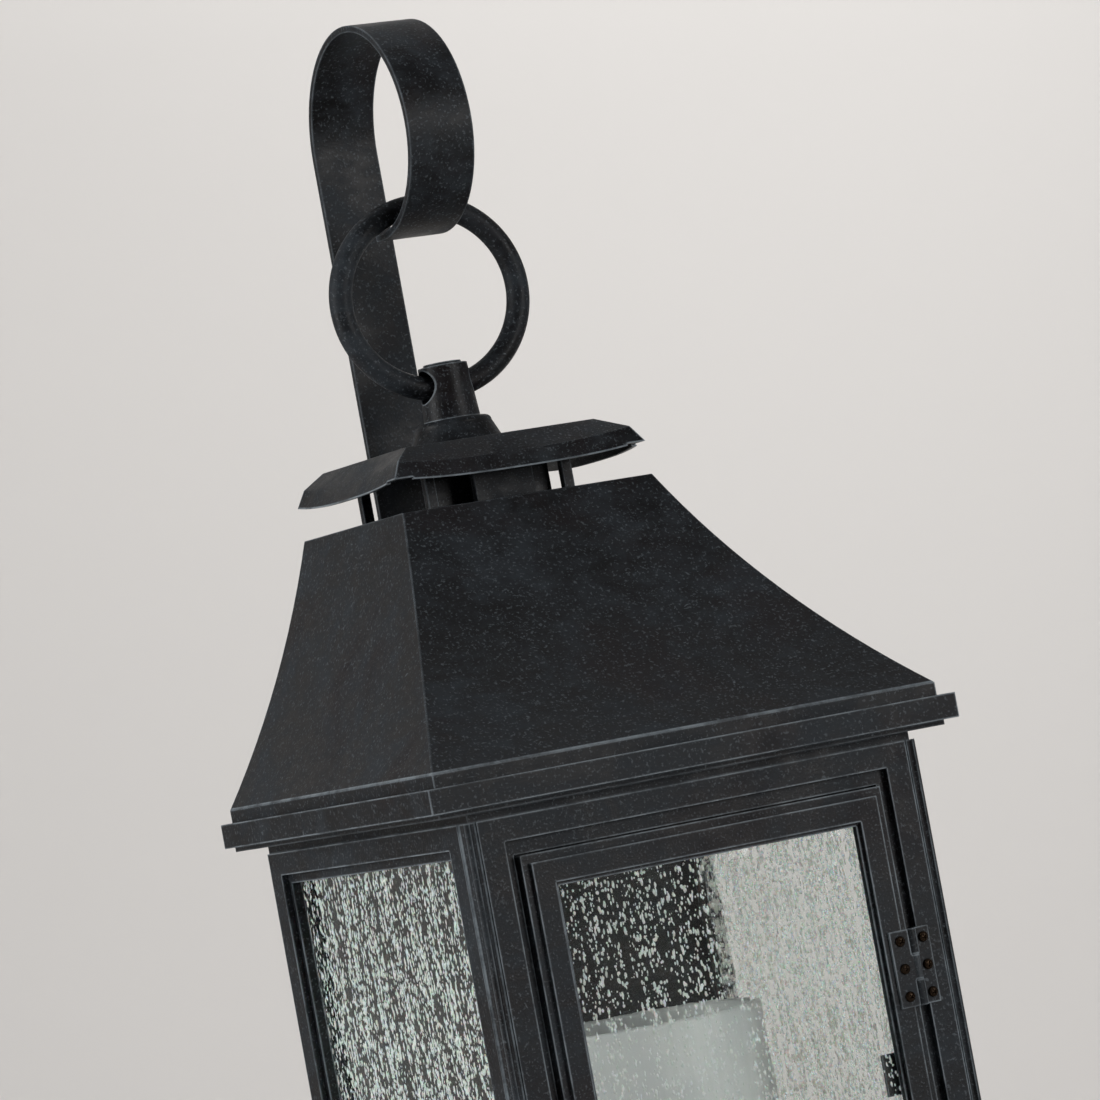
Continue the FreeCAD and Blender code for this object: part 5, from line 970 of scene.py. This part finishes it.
class LANTERN_OT_door(bpy.types.Operator):
    """Finishes the door with its hinges and turn latch"""

    bl_idname = "lantern.door"
    bl_label = "Finish the door"

    def execute(self, context):
        soft = context.scene.lantern_metal.edge_round
        dress("door_frame", "cast_charcoal", soft)
        for node in ("upper_hinge_frame_leaf", "upper_hinge_door_leaf", "lower_hinge_frame_leaf",
                     "lower_hinge_door_leaf", "latch_knob"):
            dress(node, "cast_charcoal")
        for node in ("door_glass_clips", "latch_cam"):
            dress(node, "black_sheet")
        for node in ("upper_hinge_pin", "lower_hinge_pin"):
            dress(node, "bronze_screw")
        dress("latch_nut", "zinc_steel")
        return {"FINISHED"}


class LANTERN_OT_glass(bpy.types.Operator):
    """Makes the three seeded panes, each with its bubbles"""

    bl_idname = "lantern.glass"
    bl_label = "Make the seeded glass"

    def execute(self, context):
        glass = context.scene.lantern_glass
        side = (glass.side_seeds_per_area, glass.side_seed_radius)
        panes = (("left_glass", -1, *side), ("right_glass", 1, *side),
                 ("door_glass", -1, glass.seeds_per_area, glass.seed_radius))
        for turn, (node, outward, per_area, radius) in enumerate(panes):
            rng = np.random.default_rng(glass.random_start + turn)
            low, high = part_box(node)
            body = body_of_node(node)
            pane = pane_mesh(f"{node}_drawn", low, high, glass.ripple, rng)
            new_piece(f"{node}_drawn", pane, body, "seeded_glass", "seeded_glass", node)
            seeds = seed_mesh(f"{node}_seeds", low, high, outward, per_area, radius, rng)
            new_piece(f"{node}_seeds", seeds, body, "seeded_glass", "glass_seed")
        return {"FINISHED"}


class LANTERN_OT_lamp(bpy.types.Operator):
    """Finishes the lamp: white cylinder, holder, bulb and fittings"""

    bl_idname = "lantern.lamp"
    bl_label = "Finish the lamp"

    def execute(self, context):
        dress("glass_cylinder", "opal_glass")
        dress("bulb", "bulb_glass")
        dress("lampholder", "white_ceramic")
        dress("cylinder_holder", "black_sheet")
        dress("bulb_cap", "brass")
        for node in ("lamp_nipple", "nipple_nut", "stem_nut"):
            dress(node, "zinc_steel")
        return {"FINISHED"}


class LANTERN_OT_screws(bpy.types.Operator):
    """Makes the screws with cross recesses in their heads"""

    bl_idname = "lantern.screws"
    bl_label = "Make the screws"

    def execute(self, context):
        for node in ("frame_hinge_screws", "door_hinge_screws", "door_clip_screws", "side_clip_screws",
                     "post_screws", "roof_screws", "base_screws", "panel_screws"):
            make_screws(node, "bronze_screw", "bronze_screw")
        make_screws("strap_screws", "zinc_steel", "zinc_steel")
        make_screws("ground_screw", "green_screw", "green_screw")
        return {"FINISHED"}


class LANTERN_OT_wall_fittings(bpy.types.Operator):
    """Finishes the pan, crossbar, studs and nuts behind the lantern"""

    bl_idname = "lantern.wall_fittings"
    bl_label = "Finish the wall fittings"

    def execute(self, context):
        dress("back_pan", "black_sheet", context.scene.lantern_metal.edge_round)
        for node in ("crossbar", "mounting_studs"):
            dress(node, "zinc_steel")
        dress("cap_nuts", "brass")
        dress("wire_grommet", "rubber")
        return {"FINISHED"}


def add_camera(stage):
    """The camera at the photograph's viewing angle."""
    camera = bpy.data.objects.new("photo_camera", bpy.data.cameras.new("photo_camera"))
    bpy.context.scene.collection.objects.link(camera)
    camera.data.sensor_width = 36.0
    camera.data.lens = stage.lens
    camera.data.clip_end = 200.0
    turn = Matrix.Rotation(-stage.camera_turn, 4, "Z")
    tilt = Matrix.Rotation(math.pi / 2 + stage.camera_tilt, 4, "X")
    roll = Matrix.Rotation(stage.camera_roll, 4, "Z")
    camera.matrix_world = Matrix.Translation(stage.camera_place) @ turn @ tilt @ roll
    bpy.context.scene.camera = camera


def add_backdrop(stage):
    """A round floor that curves up into a pale wall."""
    floor = CAD_BOX[0].z - stage.floor_drop
    sweep, wall = 0.5 * stage.stage_radius, 1.1 * stage.stage_radius
    profile = [(0.0, floor), (stage.stage_radius, floor)]
    steps = 16
    for i in range(1, steps + 1):
        turn = math.pi / 2 * i / steps
        profile.append((stage.stage_radius + sweep * math.sin(turn), floor + sweep * (1 - math.cos(turn))))
    profile.append((stage.stage_radius + sweep, floor + sweep + wall))
    drawn = bmesh.new()
    turned_mesh(drawn, profile, sides=96)
    floor_object = bpy.data.objects.new("studio_floor", mesh_of("studio_floor", drawn, smooth_angle=60.0))
    bpy.context.scene.collection.objects.link(floor_object)
    material, tree, shader, place = new_finish("studio_paint", Metallic=0.0, Specular_IOR_Level=0.2)
    cloud = noise(tree, place, 0.8, 3.0)
    shade = tuple(0.97 * part for part in stage.stage_colour)
    feed(tree, shader.inputs["Base Color"], mix_colours(
        tree, cloud, opaque(stage.stage_colour), opaque(shade)))
    feed(tree, shader.inputs["Roughness"], scaled_to(tree, cloud, 0.75, 0.9))
    floor_object.data.materials.append(material)


def add_softbox(name, place, target, width, height, power):
    """A soft rectangular light that faces a point."""
    light = bpy.data.lights.new(name, "AREA")
    light.shape = "RECTANGLE"
    light.size, light.size_y = width, height
    light.energy = power
    box = bpy.data.objects.new(name, light)
    bpy.context.scene.collection.objects.link(box)
    box.location = place
    box.rotation_mode = "QUATERNION"
    box.rotation_quaternion = (Vector(target) - Vector(place)).to_track_quat("-Z", "Y")


class LANTERN_OT_stage(bpy.types.Operator):
    """Sets the floor, the soft studio lights and the camera"""

    bl_idname = "lantern.stage"
    bl_label = "Set the stage"

    def execute(self, context):
        scene, stage = context.scene, context.scene.lantern_stage
        add_camera(stage)
        add_backdrop(stage)
        for name, values in SOFTBOXES.items():
            add_softbox(name, *values)
        scene.world = bpy.data.worlds.new("studio_air")
        scene.world.use_nodes = True
        air = scene.world.node_tree.nodes["Background"].inputs
        air["Color"].default_value = opaque(stage.air_colour)
        air["Strength"].default_value = stage.air_strength
        scene.view_settings.view_transform = "Standard"
        return {"FINISHED"}


PIECE_OPERATORS = (
    LANTERN_OT_roof, LANTERN_OT_strap, LANTERN_OT_frames, LANTERN_OT_door, LANTERN_OT_glass,
    LANTERN_OT_lamp, LANTERN_OT_screws, LANTERN_OT_wall_fittings, LANTERN_OT_stage,
)
SETTINGS = {
    "lantern_metal": LanternMetalSettings,
    "lantern_glass": LanternGlassSettings,
    "lantern_stage": LanternStageSettings,
}


class LANTERN_PT_sidebar(bpy.types.Panel):
    """Lists the lantern's operators and settings"""

    bl_idname = "LANTERN_PT_sidebar"
    bl_label = "Wall lantern"
    bl_space_type = "VIEW_3D"
    bl_region_type = "UI"
    bl_category = "Lantern"

    def draw(self, context):
        for operator in PIECE_OPERATORS:
            self.layout.operator(operator.bl_idname)
        for name, kind in SETTINGS.items():
            box = self.layout.box()
            box.label(text=kind.__doc__)
            for setting in kind.__annotations__:
                box.prop(getattr(context.scene, name), setting)


def register():
    """Adds the settings, operators and panel to Blender."""
    for kind in (*SETTINGS.values(), *PIECE_OPERATORS, LANTERN_PT_sidebar):
        bpy.utils.register_class(kind)
    for name, kind in SETTINGS.items():
        setattr(bpy.types.Scene, name, PointerProperty(type=kind))


def unregister():
    """Takes them out again."""
    for name in SETTINGS:
        delattr(bpy.types.Scene, name)
    for kind in reversed((*SETTINGS.values(), *PIECE_OPERATORS, LANTERN_PT_sidebar)):
        bpy.utils.unregister_class(kind)


def main():
    """Makes the whole lantern and its stage."""
    register()
    for operator in PIECE_OPERATORS:
        group, name = operator.bl_idname.split(".")
        getattr(getattr(bpy.ops, group), name)()


if __name__ == "__main__":
    main()
